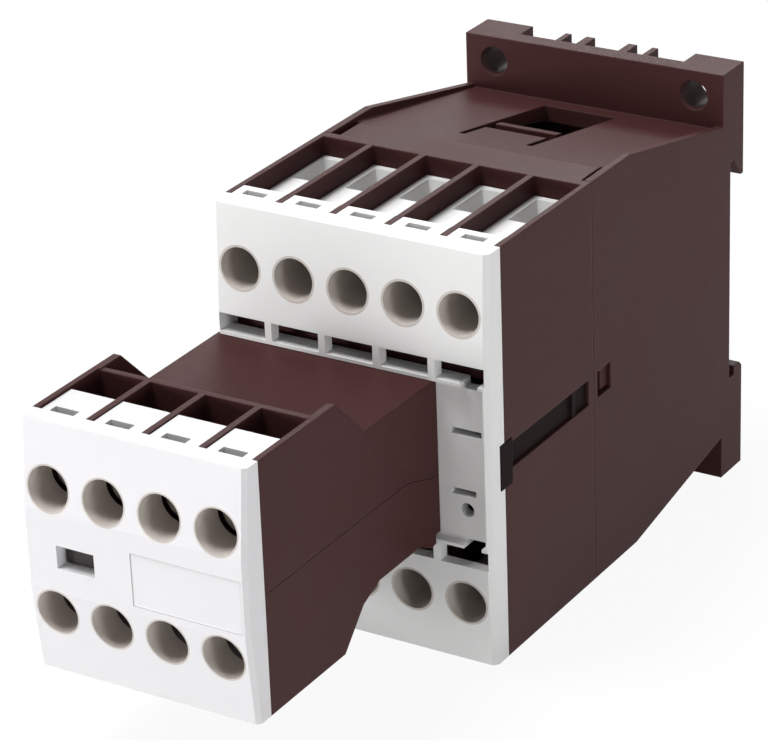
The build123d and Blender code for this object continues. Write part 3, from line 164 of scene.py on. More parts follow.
class Value:
    """A socket that takes part in plain arithmetic; each step adds one Math node."""

    def __init__(self, recipe, socket):
        self.recipe = recipe
        self.socket = socket

    def math(self, operation, first, second=None):
        values = {0: first} if second is None else {0: first, 1: second}
        return self.recipe.node("ShaderNodeMath", {"operation": operation}, values)

    def __add__(self, other):
        return self.math("ADD", self, other)

    def __radd__(self, other):
        return self.math("ADD", other, self)

    def __sub__(self, other):
        return self.math("SUBTRACT", self, other)

    def __rsub__(self, other):
        return self.math("SUBTRACT", other, self)

    def __mul__(self, other):
        return self.math("MULTIPLY", self, other)

    def clamped(self):
        return self.recipe.node("ShaderNodeClamp", {}, {"Value": self}, "Result")

    def absolute(self):
        return self.math("ABSOLUTE", self)

    def wave(self):
        return self.math("SINE", self)


class Recipe:
    """One material under construction."""

    def __init__(self, name):
        self.material = bpy.data.materials.new(name)
        self.material.use_nodes = True
        self.tree = self.material.node_tree
        self.shader = self.tree.nodes["Principled BSDF"]
        self.output = self.tree.nodes["Material Output"]

    def node(self, kind, settings=None, values=None, output=0):
        """Adds a node, sets it up, fills or links its inputs and returns one of its outputs."""
        made = self.tree.nodes.new(kind)
        for key, setting in (settings or {}).items():
            setattr(made, key, setting)
        for key, value in (values or {}).items():
            self.feed(made.inputs[key], value)
        return Value(self, made.outputs[output])

    def feed(self, socket, value):
        """Links a value into an input, or sets the input to a plain number or colour."""
        if isinstance(value, Value):
            self.tree.links.new(value.socket, socket)
        elif socket.type == "RGBA" and len(value) == 3:
            socket.default_value = (*value, 1.0)
        else:
            socket.default_value = value

    def place(self):
        """Coordinates in the piece's own space, in metres."""
        return self.node("ShaderNodeTexCoord", output="Object")

    def noise(self, size, detail=2.0, where=None):
        """Cloudy noise whose blobs are about as large as the given size in metres."""
        values = {"Vector": where or self.place(), "Scale": 1.0 / size, "Detail": detail}
        return self.node("ShaderNodeTexNoise", {}, values)

    def stretched(self, scale):
        """Coordinates scaled along each axis, which draws noise out into streaks."""
        return self.node("ShaderNodeMapping", {}, {"Vector": self.place(), "Scale": scale})

    def mix(self, factor, first, second):
        """One colour at factor zero and another at factor one."""
        made = self.node("ShaderNodeMix", {"data_type": "RGBA"}, {0: factor}, 2)
        node = made.socket.node
        self.feed(node.inputs[6], first)
        self.feed(node.inputs[7], second)
        return made

    def edge(self, radius):
        """A soft rounding of the edges, and a mask that is one right on them."""
        rounded = self.node("ShaderNodeBevel", {"samples": BEVEL_SAMPLES}, {"Radius": radius})
        flat = self.node("ShaderNodeNewGeometry", output="True Normal")
        facing = self.node("ShaderNodeVectorMath", {"operation": "DOT_PRODUCT"},
                           {0: rounded, 1: flat}, "Value")
        mask = ((1.0 - facing) * 6.0).clamped()
        return rounded, mask

    def bump(self, height, distance, strength=1.0, normal=None):
        """Relief of the given depth, on top of another normal if there is one."""
        values = {"Height": height, "Distance": distance, "Strength": strength}
        if normal is not None:
            values["Normal"] = normal
        return self.node("ShaderNodeBump", {}, values)

    def finish(self, colour, roughness, normal=None, **fixed):
        """Feeds the shader and returns the material; the fixed values are plain numbers."""
        self.feed(self.shader.inputs["Base Color"], colour)
        self.feed(self.shader.inputs["Roughness"], roughness)
        if normal is not None:
            self.feed(self.shader.inputs["Normal"], normal)
        for key, value in fixed.items():
            self.shader.inputs[key.replace("_", " ")].default_value = value
        return self.material


# Materials

def moulded_plastic(name, colour, grain, rough=0.48, edge_highlight=0.22, cloud=0.10, edge_radius=PLASTIC_EDGE,
                    gloss=0.35):
    """Moulded housing plastic: spark-eroded grain, faint flow clouds, and a painted highlight on the edges
    if it has a radius.
    """
    r = Recipe(name)
    rounded, mask = r.edge(edge_radius) if edge_radius else (None, None)
    clouds = r.noise(FLOW_CLOUD, 3.0)
    flow = r.noise(1.0, 2.0, where=r.stretched((25.0, 90.0, 260.0)))
    fine = r.noise(SPARK_GRAIN, 2.0)
    speckle = r.noise(SPARK_SPECKLE, 1.0)
    darker = tuple(c * (1.0 - cloud) for c in colour)
    lighter = tuple(min(1.0, c * (1.0 + cloud)) for c in colour)
    base = r.mix((clouds * 0.7 + flow * 0.3 - 0.25).clamped(), darker, lighter)
    surface = rough + (clouds - 0.5) * 0.12 + (speckle - 0.5) * 0.10
    if mask:
        # Painted highlight: the edges are drawn lighter, in patches, as if they caught the light.
        highlight_colour = tuple(min(0.9, c * 1.9 + 0.03) for c in colour)
        highlight_patches = (r.noise(HIGHLIGHT_PATCH_SIZE, 4.0) * 2.2 - 0.75).clamped()
        base = r.mix((mask * edge_highlight * (0.45 + highlight_patches)).clamped(), base, highlight_colour)
        surface = surface - mask * 0.06
    height = fine * 0.7 + speckle * 0.3
    normal = r.bump(height, grain, 0.8, rounded)
    return r.finish(base, surface, normal, Specular_IOR_Level=gloss)


def plated_metal(name, colour, rough, metallic=1.0):
    """Plated or rolled metal with fine marks, clouded plating, and edges drawn lighter and smoother."""
    r = Recipe(name)
    rounded, mask = r.edge(METAL_EDGE)
    marks = r.noise(1.0, 3.0, where=r.stretched((900.0, 900.0, 900.0)))
    clouds = r.noise(PLATING_CLOUD, 3.0)
    base = r.mix((clouds * 0.9 - 0.2).clamped(), colour, tuple(c * 0.8 for c in colour))
    base = r.mix(((clouds - 0.55) * 3.0).clamped() * 0.35, base, PLATING_STAIN)
    # The edges are drawn lighter than the rest of the surface.
    base = r.mix(mask * 0.5, base, tuple(min(1.0, c * 1.25) for c in colour))
    surface = rough + (marks - 0.5) * 0.22 - mask * 0.08
    normal = r.bump(marks, METAL_MARK_DEPTH, 0.6, rounded)
    return r.finish(base, surface, normal, Metallic=metallic)


def contact_metal(name, copper, silver, silver_to):
    """Rolled copper strip, silver plated up to a height above and below the middle of the part."""
    r = Recipe(name)
    rounded, mask = r.edge(STRIP_EDGE)
    marks = r.noise(1.0, 3.0, where=r.stretched((2200.0, 2200.0, 120.0)))
    clouds = r.noise(STRIP_CLOUD, 3.0)
    base = r.mix(clouds, copper, tuple(c * 0.72 for c in copper))
    height = r.node("ShaderNodeSeparateXYZ", {}, {0: r.place()}, 2)
    plated = ((silver_to - height.absolute()) * 4000.0).clamped()
    base = r.mix(plated * 0.9, base, silver)
    surface = 0.34 + (marks - 0.5) * 0.2 - mask * 0.05
    normal = r.bump(marks, METAL_MARK_DEPTH, 0.6, rounded)
    return r.finish(base, surface, normal, Metallic=1.0)


def laminated_steel(name, colour):
    """Punched sheets riveted into a stack: dark joints across the width, oil-browned faces."""
    r = Recipe(name)
    across = r.node("ShaderNodeSeparateXYZ", {}, {0: r.place()}, 0)
    joint = ((across * (FULL_TURN / SHEET_THICKNESS)).wave() * 4.0 - 3.0).clamped()
    clouds = r.noise(SHEET_CLOUD, 4.0)
    base = r.mix(clouds, colour, tuple(c * 0.7 for c in colour))
    base = r.mix(joint * 0.75, base, SHEET_JOINT)
    normal = r.bump(1.0 - joint, SHEET_JOINT_DEPTH)
    return r.finish(base, 0.42 + clouds * 0.12, normal, Metallic=0.9)


def wound_wire(name, colour):
    """Enamelled wire laid turn on turn along the depth of the bobbin."""
    r = Recipe(name)
    along = r.node("ShaderNodeSeparateXYZ", {}, {0: r.place()}, 1)
    turn = (along * (FULL_TURN / WIRE_PITCH)).wave() * 0.5 + 0.5
    clouds = r.noise(WIRE_CLOUD, 3.0)
    # Painted shade: the colour darkens in the grooves between the turns, with random tone from the clouds
    # on top.
    base = r.mix(turn * 0.6 + clouds * 0.4, tuple(c * 0.45 for c in colour), colour)
    normal = r.bump(turn, WIRE_DEPTH)
    return r.finish(base, 0.3 + clouds * 0.1, normal, Metallic=0.7, Coat_Weight=0.5)


def soft_rubber(name, colour):
    """Matte black pad rubber with a bloomed skin."""
    r = Recipe(name)
    clouds = r.noise(RUBBER_CLOUD, 4.0)
    base = r.mix(clouds, colour, tuple(c * 1.8 + 0.01 for c in colour))
    normal = r.bump(r.noise(RUBBER_GRAIN, 3.0), RUBBER_DEPTH)
    return r.finish(base, 0.75 + clouds * 0.15, normal)


def spring_steel():
    """The one steel that the springs and the armature's pin share."""
    return bpy.data.materials.get("spring_steel") or plated_metal("spring_steel", SPRING_STEEL, 0.26)


# Mesh helpers

def new_piece(name, mesh_maker, body, material):
    """Builds a piece with a bmesh function, finishes it and hangs it on a body."""
    bm = bmesh.new()
    mesh_maker(bm)
    bmesh.ops.remove_doubles(bm, verts=bm.verts, dist=WELD_DISTANCE)
    bmesh.ops.recalc_face_normals(bm, faces=bm.faces)
    mesh = bpy.data.meshes.new(name)
    bm.to_mesh(mesh)
    bm.free()
    mesh.materials.append(material)
    piece = bpy.data.objects.new(name, mesh)
    bpy.context.scene.collection.objects.link(piece)
    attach(piece, body)
    return piece


def dress(names, material):
    """Gives one material to CAD nodes."""
    for name in names:
        slots = NODES[name].data.materials
        slots.clear()
        slots.append(material)


def ring_of(bm, edges, radius_scale, centre, shift):
    """Extrudes a loop of edges, scales it about a centre and moves it; returns the new loop."""
    made = bmesh.ops.extrude_edge_only(bm, edges=edges)["geom"]
    verts = [item for item in made if isinstance(item, bmesh.types.BMVert)]
    for vert in verts:
        away = vert.co - centre
        vert.co = centre + Vector((away.x * radius_scale, away.y, away.z * radius_scale))
    bmesh.ops.translate(bm, verts=verts, vec=shift)
    return [item for item in made if isinstance(item, bmesh.types.BMEdge)]


def clamp_screw(bm, x, z, front, back, radius, turn):
    """A pan-head clamp screw that looks forwards, with a slot and a cross sunk in its head."""
    sizes = bpy.context.scene.contactor_screws
    step = sizes.rounding
    centre = Vector((x, front, z))
    stand = Matrix.Translation(centre) @ Matrix.Rotation(RIGHT_ANGLE, 4, "X")
    made = bmesh.ops.create_circle(bm, cap_ends=True, segments=SCREW_SEGMENTS, radius=radius - step,
                                   matrix=stand)
    face = made["verts"][0].link_faces[0]
    grow = radius / (radius - step)
    mid = 1 + (grow - 1) * RIM_WIDTH_SHARE
    loop = ring_of(bm, list(face.edges), mid, centre, (0, step * RIM_DEPTH_SHARE, 0))
    loop = ring_of(bm, loop, grow / mid, centre, (0, step * (1 - RIM_DEPTH_SHARE), 0))
    loop = ring_of(bm, loop, 1.0, centre, (0, sizes.head - step, 0))
    loop = ring_of(bm, loop, sizes.shank / radius, centre, (0, 0, 0))
    length = back - front - sizes.head
    turns = max(2, int(length / sizes.pitch))
    half = (0, length / turns / 2, 0)
    for _ in range(turns):
        loop = ring_of(bm, loop, sizes.core, centre, half)
        loop = ring_of(bm, loop, 1.0 / sizes.core, centre, half)
    bmesh.ops.holes_fill(bm, edges=loop, sides=0)
    sink_cross(bm, face, centre, turn, sizes)


def sink_cross(bm, face, centre, turn, sizes):
    """Cuts a long slot and a short cross into one flat face and pushes them in."""
    along = Vector((math.cos(turn), 0, math.sin(turn)))
    across = Vector((-math.sin(turn), 0, math.cos(turn)))
    geom = [face] + list(face.edges) + list(face.verts)
    half_slot, half_cross, half_long = sizes.slot / 2, sizes.cross / 2, sizes.long / 2
    for normal, half in ((across, half_slot), (along, half_slot), (across, half_cross), (along, half_long)):
        for offset in (half, -half):
            done = bmesh.ops.bisect_plane(bm, geom=geom, plane_co=centre + normal * offset, plane_no=normal)
            geom = done["geom"]
    sunk = []
    for item in geom:
        if not isinstance(item, bmesh.types.BMFace):
            continue
        away = item.calc_center_median() - centre
        reach, aside = abs(away.dot(along)), abs(away.dot(across))
        in_slot = aside < half_slot and reach < half_long
        in_cross = reach < half_slot and aside < half_cross
        if in_slot or in_cross:
            sunk.append(item)
    pushed = bmesh.ops.extrude_face_region(bm, geom=sunk)["geom"]
    verts = [item for item in pushed if isinstance(item, bmesh.types.BMVert)]
    bmesh.ops.translate(bm, verts=verts, vec=(0, sizes.sink, 0))
    bmesh.ops.delete(bm, geom=sunk, context="FACES")


def screw_row(bm, node, count, seed):
    """A row of screws in the place of one node."""
    low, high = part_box(node)
    radius = (high.z - low.z) / 2
    for index in range(count):
        share = index / (count - 1)
        x = low.x + radius + share * (high.x - low.x - 2 * radius)
        turn = math.radians((seed * TURN_BY_ROW + index * TURN_BY_SCREW) % HALF_TURN_DEGREES)
        clamp_screw(bm, x, (low.z + high.z) / 2, low.y, high.y, radius, turn)


def coil_spring(bm, foot, along, length, radius, wire, turns):
    """A coil of round wire with a closed turn at each end, from its foot along a direction."""
    axis = Vector(along).normalized()
    stand = Matrix.Translation(foot) @ axis.to_track_quat("Z", "Y").to_matrix().to_4x4()
    section = stand @ Matrix.Translation((radius, 0, wire / 2)) @ Matrix.Rotation(RIGHT_ANGLE, 4, "X")
    made = bmesh.ops.create_circle(bm, segments=WIRE_SIDES, radius=wire / 2, matrix=section)
    first = list({edge for vert in made["verts"] for edge in vert.link_edges})
    loop = first
    for whirls, rise in ((1, wire), (turns, length - 3 * wire), (1, wire)):
        steps = SPRING_STEPS * whirls
        spun = bmesh.ops.spin(bm, geom=loop, cent=foot, axis=axis, dvec=axis * (rise / steps),
                              angle=FULL_TURN * whirls, steps=steps, use_merge=False)
        loop = [item for item in spun["geom_last"] if isinstance(item, bmesh.types.BMEdge)]
    for end in (first, loop):
        bmesh.ops.holes_fill(bm, edges=end, sides=0)


def spring_row(bm, feet, along, length, radius, wire, turns):
    """Like springs side by side."""
    for foot in feet:
        coil_spring(bm, foot, along, length, radius, wire, turns)


# Settings

def colour(name, description, default):
    """A colour that a user can change."""
    return bpy.props.FloatVectorProperty(name=name, description=description, subtype="COLOR", size=3,
                                         default=default)


def distance(name, description, default):
    """A length that a user can change."""
    return bpy.props.FloatProperty(name=name, description=description, subtype="DISTANCE", default=default)


def angle(name, description, degrees):
    """An angle that a user can change."""
    return bpy.props.FloatProperty(name=name, description=description, subtype="ANGLE",
                                   default=math.radians(degrees))


def number(name, description, default):
    """A plain number that a user can change."""
    return bpy.props.FloatProperty(name=name, description=description, default=default)


class ContactorColours(bpy.types.PropertyGroup):
    """Colours of the plastics and metals."""
    brown: colour("Housing brown", "Housing plastic", (0.056, 0.0210, 0.0205))
    pale: colour("Cover grey", "Front cover of the contactor", (0.72, 0.72, 0.715))
    # A real white plastic, set darker than the cover grey as painted shade that offsets the stronger light
    # the nearer block gets.
    white: colour("Block white", "Front plate of the auxiliary block", (0.67, 0.66, 0.675))
    dark: colour("Clip black", "Side clips, carrier and latch", (0.012, 0.006, 0.007))
    tube: colour("Tube taupe", "Driver tubes of the terminals", (0.52, 0.475, 0.44))
    slider: colour("Slider", "Auxiliary slider and its indicator", (0.03, 0.022, 0.022))
    zinc: colour("Zinc", "Plated screws and clamp plates", (0.42, 0.385, 0.355))
    copper: colour("Copper alloy", "Contact strips", (0.62, 0.38, 0.22))
    silver: colour("Silver", "Contact tips", (0.72, 0.71, 0.68))


class ContactorScrews(bpy.types.PropertyGroup):
    """Sizes of the clamp screws."""
    head: distance("Head height", "Height of the screw head", 2.8 * MM)
    rounding: distance("Head rounding", "Rounding of the head's rim", 0.45 * MM)
    shank: distance("Shank radius", "Radius over the thread", 1.75 * MM)
    core: number("Core", "Thread root as a share of the shank", 0.86)
    pitch: distance("Pitch", "Distance between threads", 0.7 * MM)
    slot: distance("Slot width", "Width of the slot and the cross", 0.85 * MM)
    long: distance("Slot length", "Length of the slot", 4.7 * MM)
    cross: distance("Cross length", "Length of the shorter arm", 3.3 * MM)
    sink: distance("Slot depth", "Depth of the slot", 1.2 * MM)


class ContactorSprings(bpy.types.PropertyGroup):
    """How far the springs give."""
    travel: distance("Armature travel", "How far the return springs are pushed in", 4.0 * MM)
    overtravel: distance("Overtravel", "How far the contact springs are pushed in", 1.0 * MM)
    latch: distance("Latch travel", "How far the rail latch pushes its spring in", 1.5 * MM)


class ContactorStudio(bpy.types.PropertyGroup):
    """Camera and light."""
    azimuth: angle("Azimuth", "Camera's turn to the right of the front", 32.15)
    elevation: angle("Elevation", "Camera's height angle", 24.92)
    roll: angle("Roll", "Camera's roll", -2.19)
    place: bpy.props.FloatVectorProperty(name="Camera place", description="Where the camera stands",
                                         subtype="TRANSLATION", size=3, default=(0.2465, -0.463, 0.2219))
    focal: number("Focal length", "In pixels of the photograph", 3554.0)
    key: number("Key light", "Watts of the light above", 29.5)
    front: number("Front light", "Watts of the low light in front", 14.0)
    right: number("Right light", "Watts of the low light at the right", 6.2)
    back: number("Back light", "Watts of the high light behind", 8.5)
    world: number("World light", "Strength of the sky", 0.24)


# Operators

class CONTACTOR_OT_housings(bpy.types.Operator):
    """Finish the brown housings in moulded plastic"""
    bl_idname = "contactor.housings"
    bl_label = "Housings"

    def execute(self, context):
        colours = context.scene.contactor_colours
        brown = moulded_plastic("housing_plastic", tuple(colours.brown), 0.05 * MM, rough=0.45, edge_highlight=0.30,
                                gloss=0.06)
        dress(["mounting_base", "contact_chamber", "aux_housing_upper", "aux_housing_lower"], brown)
        dark = moulded_plastic("clip_plastic", tuple(colours.dark), 0.02 * MM, rough=0.55, edge_highlight=0.15,
                               gloss=0.03)
        dress(["side_clips", "contact_carrier", "rail_latch"], dark)
        slider = moulded_plastic("slider_plastic", tuple(colours.slider), 0.02 * MM, rough=0.40)
        dress(["aux_carrier"], slider)
        tube = moulded_plastic("tube_plastic", tuple(colours.tube), 0.02 * MM, rough=0.50, edge_radius=None)
        dress(["driver_tubes", "aux_driver_tubes"], tube)
        return {"FINISHED"}


class CONTACTOR_OT_covers(bpy.types.Operator):
    """Finish the pale cover and the white front plate"""
    bl_idname = "contactor.covers"
    bl_label = "Covers"

    def execute(self, context):
        colours = context.scene.contactor_colours
        pale = moulded_plastic("cover_plastic", tuple(colours.pale), 0.012 * MM, rough=0.42, cloud=0.02,
                               edge_radius=None)
        dress(["terminal_cover", "shroud_plates", "wire_funnels"], pale)
        white = moulded_plastic("front_plate_plastic", tuple(colours.white), 0.012 * MM, rough=0.38,
                                cloud=0.015, edge_radius=None)
        dress(["aux_front_cover", "aux_shroud_plates"], white)
        return {"FINISHED"}


class CONTACTOR_OT_magnet(bpy.types.Operator):
    """Finish the magnet, the coil and the armature's pin"""
    bl_idname = "contactor.magnet"
    bl_label = "Magnet and coil"

    def execute(self, context):
        colours = context.scene.contactor_colours
        dress(["magnet_core", "armature"], laminated_steel("laminated_sheets", SHEET_STEEL))
        dress(["coil_winding"], wound_wire("enamelled_wire", ENAMEL))
        dress(["coil_bobbin"], moulded_plastic("bobbin_plastic", BOBBIN_BLACK, 0.03 * MM))
        dress(["core_pads"], soft_rubber("pad_rubber", PAD_BLACK))
        dress(["armature_pin"], spring_steel())
        copper = plated_metal("ring_copper", tuple(colours.copper), 0.35)
        dress(["shading_rings"], copper)
        return {"FINISHED"}


class CONTACTOR_OT_contacts(bpy.types.Operator):
    """Finish the contact strips, bridges and clamp plates"""
    bl_idname = "contactor.contacts"
    bl_label = "Contacts"

    def execute(self, context):
        colours = context.scene.contactor_colours
        copper, silver = tuple(colours.copper), tuple(colours.silver)
        main = contact_metal("contact_strip", copper, silver, MAIN_SILVER)
        small = contact_metal("small_contact_strip", copper, silver, AUX_SILVER)
        for pole in range(1, POLE_COUNT + 1):
            dress(["fixed_contact_top_%d" % pole, "fixed_contact_bottom_%d" % pole,
                   "contact_bridge_%d" % pole], main)
            dress(["aux_fixed_contact_top_%d" % pole, "aux_fixed_contact_bottom_%d" % pole,
                   "aux_bridge_%d" % pole], small)
        dress(["coil_terminal_top", "coil_terminal_bottom"], main)
        zinc = plated_metal("zinc_plating", tuple(colours.zinc), 0.33)
        dress(["clamp_washers", "aux_clamp_washers"], zinc)
        return {"FINISHED"}


class CONTACTOR_OT_screws(bpy.types.Operator):
    """Model the clamp screws with their slots and threads"""
    bl_idname = "contactor.screws"
    bl_label = "Clamp screws"

    def execute(self, context):
        zinc = plated_metal("screw_zinc", tuple(context.scene.contactor_colours.zinc), 0.34, 0.6)
        rows = (("terminal_screws_top", TERMINAL_COUNT), ("terminal_screws_bottom", TERMINAL_COUNT),
                ("aux_screws_top", POLE_COUNT), ("aux_screws_bottom", POLE_COUNT))
        for seed, (node, count) in enumerate(rows, start=1):
            piece = new_piece(node + "_detailed", lambda bm: screw_row(bm, node, count, seed), "housing",
                              zinc)
            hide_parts(node)
        return {"FINISHED"}


class CONTACTOR_OT_springs(bpy.types.Operator):
    """Model the coil springs"""
    bl_idname = "contactor.springs"
    bl_label = "Springs"

    def execute(self, context):
        gives = context.scene.contactor_springs
        steel = spring_steel()
        forwards, backwards = (0, -1, 0), (0, 1, 0)
        xs = [(index - (TERMINAL_COUNT - 1) / 2) * PITCH for index in range(POLE_COUNT)]

        low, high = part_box("return_springs")
        length = high.y - low.y + gives.travel
        feet = [Vector((x, high.y, 0)) for x in (-RETURN_SPRING_X, RETURN_SPRING_X)]
        self.row("return_springs", "", "housing", steel, feet, forwards, length, gives.travel,
                 RETURN_COIL, "armature_stroke")

        low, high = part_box("contact_springs")
        length = high.y - low.y + gives.overtravel
        feet = [Vector((x, low.y, 0)) for x in xs]
        self.row("contact_springs", "", "main_slider", steel, feet, backwards, length, gives.overtravel,
                 CONTACT_COIL, "armature_stroke")

        low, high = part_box("aux_contact_springs")
        rise = (low.z + high.z) / 2
        feet = [Vector((x, low.y, rise)) for x in (xs[0], xs[3])]
        self.row("aux_contact_springs", "_open", "aux_slider", steel, feet, backwards, AUX_OPEN_LENGTH,
                 gives.overtravel, AUX_COIL, "armature_stroke")
        feet = [Vector((x, high.y, rise)) for x in (xs[1], xs[2])]
        self.row("aux_contact_springs", "_closed", "aux_slider", steel, feet, forwards, AUX_CLOSED_LENGTH,
                 0, AUX_COIL, None)

        low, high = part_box("rail_latch_spring")
        foot = Vector(((low.x + high.x) / 2, (low.y + high.y) / 2, high.z))
        self.row("rail_latch_spring", "", "housing", steel, [foot], (0, 0, -1), high.z - low.z, gives.latch,
                 LATCH_COIL, "rail_latch_slide")
        return {"FINISHED"}

    def row(self, node, ending, body, material, feet, along, length, give, coil, joint):
        """Builds springs in the place of a node, each standing on its foot."""
        piece = new_piece(node + ending + "_coiled", lambda bm: spring_row(bm, feet, along, length, *coil),
                          body, material)
        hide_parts(node)
        if joint:
            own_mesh(piece)


class CONTACTOR_OT_label_field(bpy.types.Operator):
    """Model the bare label tag with its raised rim in the front plate"""
    bl_idname = "contactor.label_field"
    bl_label = "Label field"

    def execute(self, context):
        low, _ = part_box("aux_front_cover")
        white = bpy.data.materials["front_plate_plastic"]
        new_piece("aux_label_tag", lambda bm: label_tag(bm, low.y), "housing", white)
        return {"FINISHED"}


def label_tag(bm, front):
    """A thin tag with a narrow rim, let into the field of the front plate."""
    seat = front + TAG_FIELD_DEPTH - TAG_THICKNESS
    centre = Vector(((TAG_LEFT + TAG_RIGHT) / 2, seat, (TAG_FOOT + TAG_TOP) / 2))
    stand = Matrix.Translation(centre) @ Matrix.Rotation(RIGHT_ANGLE, 4, "X")
    stand = stand @ Matrix.Diagonal((TAG_RIGHT - TAG_LEFT, TAG_TOP - TAG_FOOT, 1, 1))
    bmesh.ops.create_grid(bm, x_segments=1, y_segments=1, size=0.5, matrix=stand)
    face = bm.faces[:][0]
    solid = bmesh.ops.extrude_face_region(bm, geom=[face], use_keep_orig=True)["geom"]
    verts = [item for item in solid if isinstance(item, bmesh.types.BMVert)]
    bmesh.ops.translate(bm, verts=verts, vec=(0, TAG_THICKNESS, 0))
    bmesh.ops.inset_region(bm, faces=[face], thickness=TAG_RIM, depth=0.0)
    bmesh.ops.translate(bm, verts=face.verts[:], vec=(0, TAG_SINK, 0))


class CONTACTOR_OT_studio(bpy.types.Operator):
    """Set up the floor, the lights, the world and the camera"""
    bl_idname = "contactor.studio"
    bl_label = "Studio"

    def execute(self, context):
        studio = context.scene.contactor_studio
        make_floor()
        make_world(context.scene, studio.world)
        area_light("key_light", KEY_LAMP, studio.key)
        area_light("front_light", FRONT_LAMP, studio.front)
        area_light("right_light", RIGHT_LAMP, studio.right)
        area_light("back_light", BACK_LAMP, studio.back)
        make_camera(context.scene, studio)
        context.scene.view_settings.view_transform = "Standard"
        return {"FINISHED"}


def seen_directly(tree):
    """A factor that is one wherever the camera, gloss or glass looks at the background."""
    path = tree.nodes.new("ShaderNodeLightPath")
    seen = tree.nodes.new("ShaderNodeMath")
    seen.operation = "MAXIMUM"
    tree.links.new(path.outputs["Is Camera Ray"], seen.inputs[0])
    shine = tree.nodes.new("ShaderNodeMath")
    shine.operation = "MAXIMUM"
    tree.links.new(path.outputs["Is Glossy Ray"], shine.inputs[0])
    tree.links.new(path.outputs["Is Transmission Ray"], shine.inputs[1])
    tree.links.new(shine.outputs[0], seen.inputs[1])
    return seen


def make_world(scene, strength):
    """An even sky that the camera sees as plain white."""
    world = bpy.data.worlds.new("studio_world")
    world.use_nodes = True
    tree = world.node_tree
    tree.nodes.clear()
    plain = tree.nodes.new("ShaderNodeBackground")
    plain.inputs["Color"].default_value = WHITE
    plain.inputs["Strength"].default_value = strength
    white = tree.nodes.new("ShaderNodeBackground")
    white.inputs["Color"].default_value = WHITE
    white.inputs["Strength"].default_value = 1.0
    mix = tree.nodes.new("ShaderNodeMixShader")
    tree.links.new(seen_directly(tree).outputs[0], mix.inputs[0])
    tree.links.new(plain.outputs[0], mix.inputs[1])
    tree.links.new(white.outputs[0], mix.inputs[2])
    out = tree.nodes.new("ShaderNodeOutputWorld")
    tree.links.new(mix.outputs[0], out.inputs[0])
    scene.world = world


def make_floor():
    """A wide floor just under the object, nearly white to the camera, that still takes a shadow."""
    bm = bmesh.new()
    place = Matrix.Translation((0, 0, CAD_LOW.z - FLOOR_GAP))
    bmesh.ops.create_grid(bm, x_segments=1, y_segments=1, size=FLOOR_HALF_WIDTH, matrix=place)
    mesh = bpy.data.meshes.new("floor")
    bm.to_mesh(mesh)
    bm.free()
    recipe = Recipe("floor_paint")
    tree = recipe.tree
    white = tree.nodes.new("ShaderNodeEmission")
    white.inputs["Strength"].default_value = 1.0
    mix = tree.nodes.new("ShaderNodeMixShader")
    share = tree.nodes.new("ShaderNodeMath")
    share.operation = "MULTIPLY"
    share.inputs[1].default_value = FLOOR_WHITE_SHARE
    tree.links.new(seen_directly(tree).outputs[0], share.inputs[0])
    tree.links.new(share.outputs[0], mix.inputs[0])
    recipe.finish(FLOOR_PAINT, FLOOR_ROUGHNESS)
    tree.links.new(recipe.shader.outputs[0], mix.inputs[1])
    tree.links.new(white.outputs[0], mix.inputs[2])
    tree.links.new(mix.outputs[0], recipe.output.inputs["Surface"])
    mesh.materials.append(recipe.material)
    floor = bpy.data.objects.new("floor", mesh)
    bpy.context.scene.collection.objects.link(floor)


def area_light(name, stand, watts):
    """A round lamp that stands off the middle of the part and looks at it."""
    offset, size = stand
    light = bpy.data.lights.new(name, "AREA")
    light.shape = "DISK"
    light.size = size
    light.energy = watts
    lamp = bpy.data.objects.new(name, light)
    lamp.location = (CAD_LOW + CAD_HIGH) / 2 + Vector(offset)
    lamp.rotation_euler = (-Vector(offset)).to_track_quat("-Z", "Y").to_euler()
    bpy.context.scene.collection.objects.link(lamp)


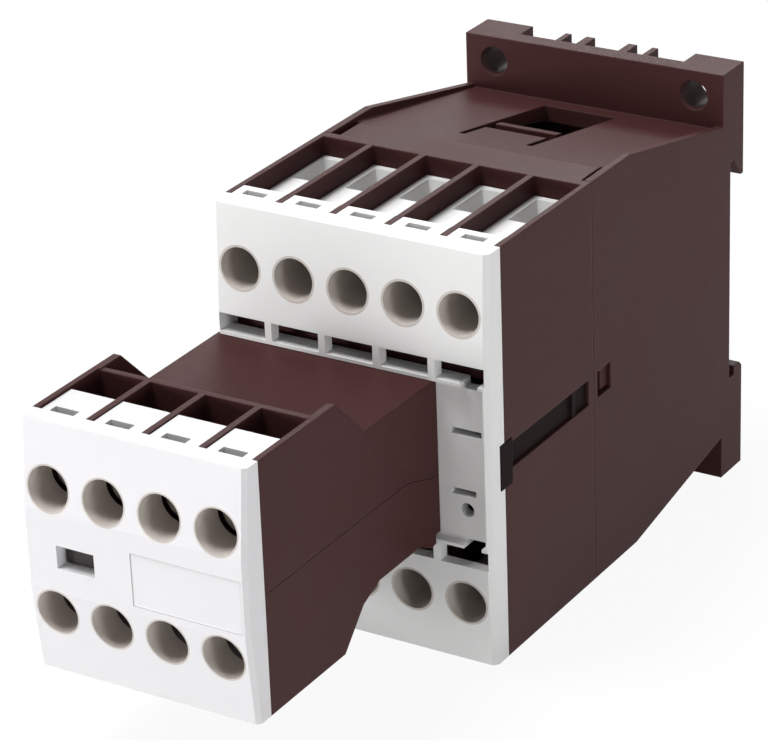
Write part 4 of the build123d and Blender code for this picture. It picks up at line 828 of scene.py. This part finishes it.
def make_camera(scene, studio):
    """The camera at the photograph's angle and distance."""
    data = bpy.data.cameras.new("photo_camera")
    data.sensor_width = SENSOR_WIDTH
    data.lens = studio.focal * SENSOR_WIDTH / IMAGE_WIDTH
    data.clip_start = NEAREST_SEEN
    camera = bpy.data.objects.new("photo_camera", data)
    scene.collection.objects.link(camera)
    turn = Matrix.Rotation(studio.azimuth, 4, "Z")
    tilt = Matrix.Rotation(RIGHT_ANGLE - studio.elevation, 4, "X")
    roll = Matrix.Rotation(studio.roll, 4, "Z")
    camera.matrix_world = Matrix.Translation(studio.place) @ turn @ tilt @ roll
    scene.camera = camera


class CONTACTOR_PT_panel(bpy.types.Panel):
    """Lists the steps in the sidebar"""
    bl_label = "Contactor"
    bl_idname = "CONTACTOR_PT_panel"
    bl_space_type = "VIEW_3D"
    bl_region_type = "UI"
    bl_category = "Contactor"

    def draw(self, context):
        for operator in OPERATORS:
            self.layout.operator(operator.bl_idname)


OPERATORS = (CONTACTOR_OT_housings, CONTACTOR_OT_covers, CONTACTOR_OT_magnet, CONTACTOR_OT_contacts,
             CONTACTOR_OT_screws, CONTACTOR_OT_springs, CONTACTOR_OT_label_field, CONTACTOR_OT_studio)
SETTINGS = (ContactorColours, ContactorScrews, ContactorSprings, ContactorStudio)


def register():
    for item in SETTINGS + OPERATORS + (CONTACTOR_PT_panel,):
        bpy.utils.register_class(item)
    bpy.types.Scene.contactor_colours = bpy.props.PointerProperty(type=ContactorColours)
    bpy.types.Scene.contactor_screws = bpy.props.PointerProperty(type=ContactorScrews)
    bpy.types.Scene.contactor_springs = bpy.props.PointerProperty(type=ContactorSprings)
    bpy.types.Scene.contactor_studio = bpy.props.PointerProperty(type=ContactorStudio)


def unregister():
    del bpy.types.Scene.contactor_studio
    del bpy.types.Scene.contactor_springs
    del bpy.types.Scene.contactor_screws
    del bpy.types.Scene.contactor_colours
    for item in reversed(SETTINGS + OPERATORS + (CONTACTOR_PT_panel,)):
        bpy.utils.unregister_class(item)


def main():
    """Runs every step once."""
    register()
    bpy.ops.contactor.housings()
    bpy.ops.contactor.covers()
    bpy.ops.contactor.magnet()
    bpy.ops.contactor.contacts()
    bpy.ops.contactor.screws()
    bpy.ops.contactor.springs()
    bpy.ops.contactor.label_field()
    bpy.ops.contactor.studio()
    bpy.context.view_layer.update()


if __name__ == "__main__":
    main()
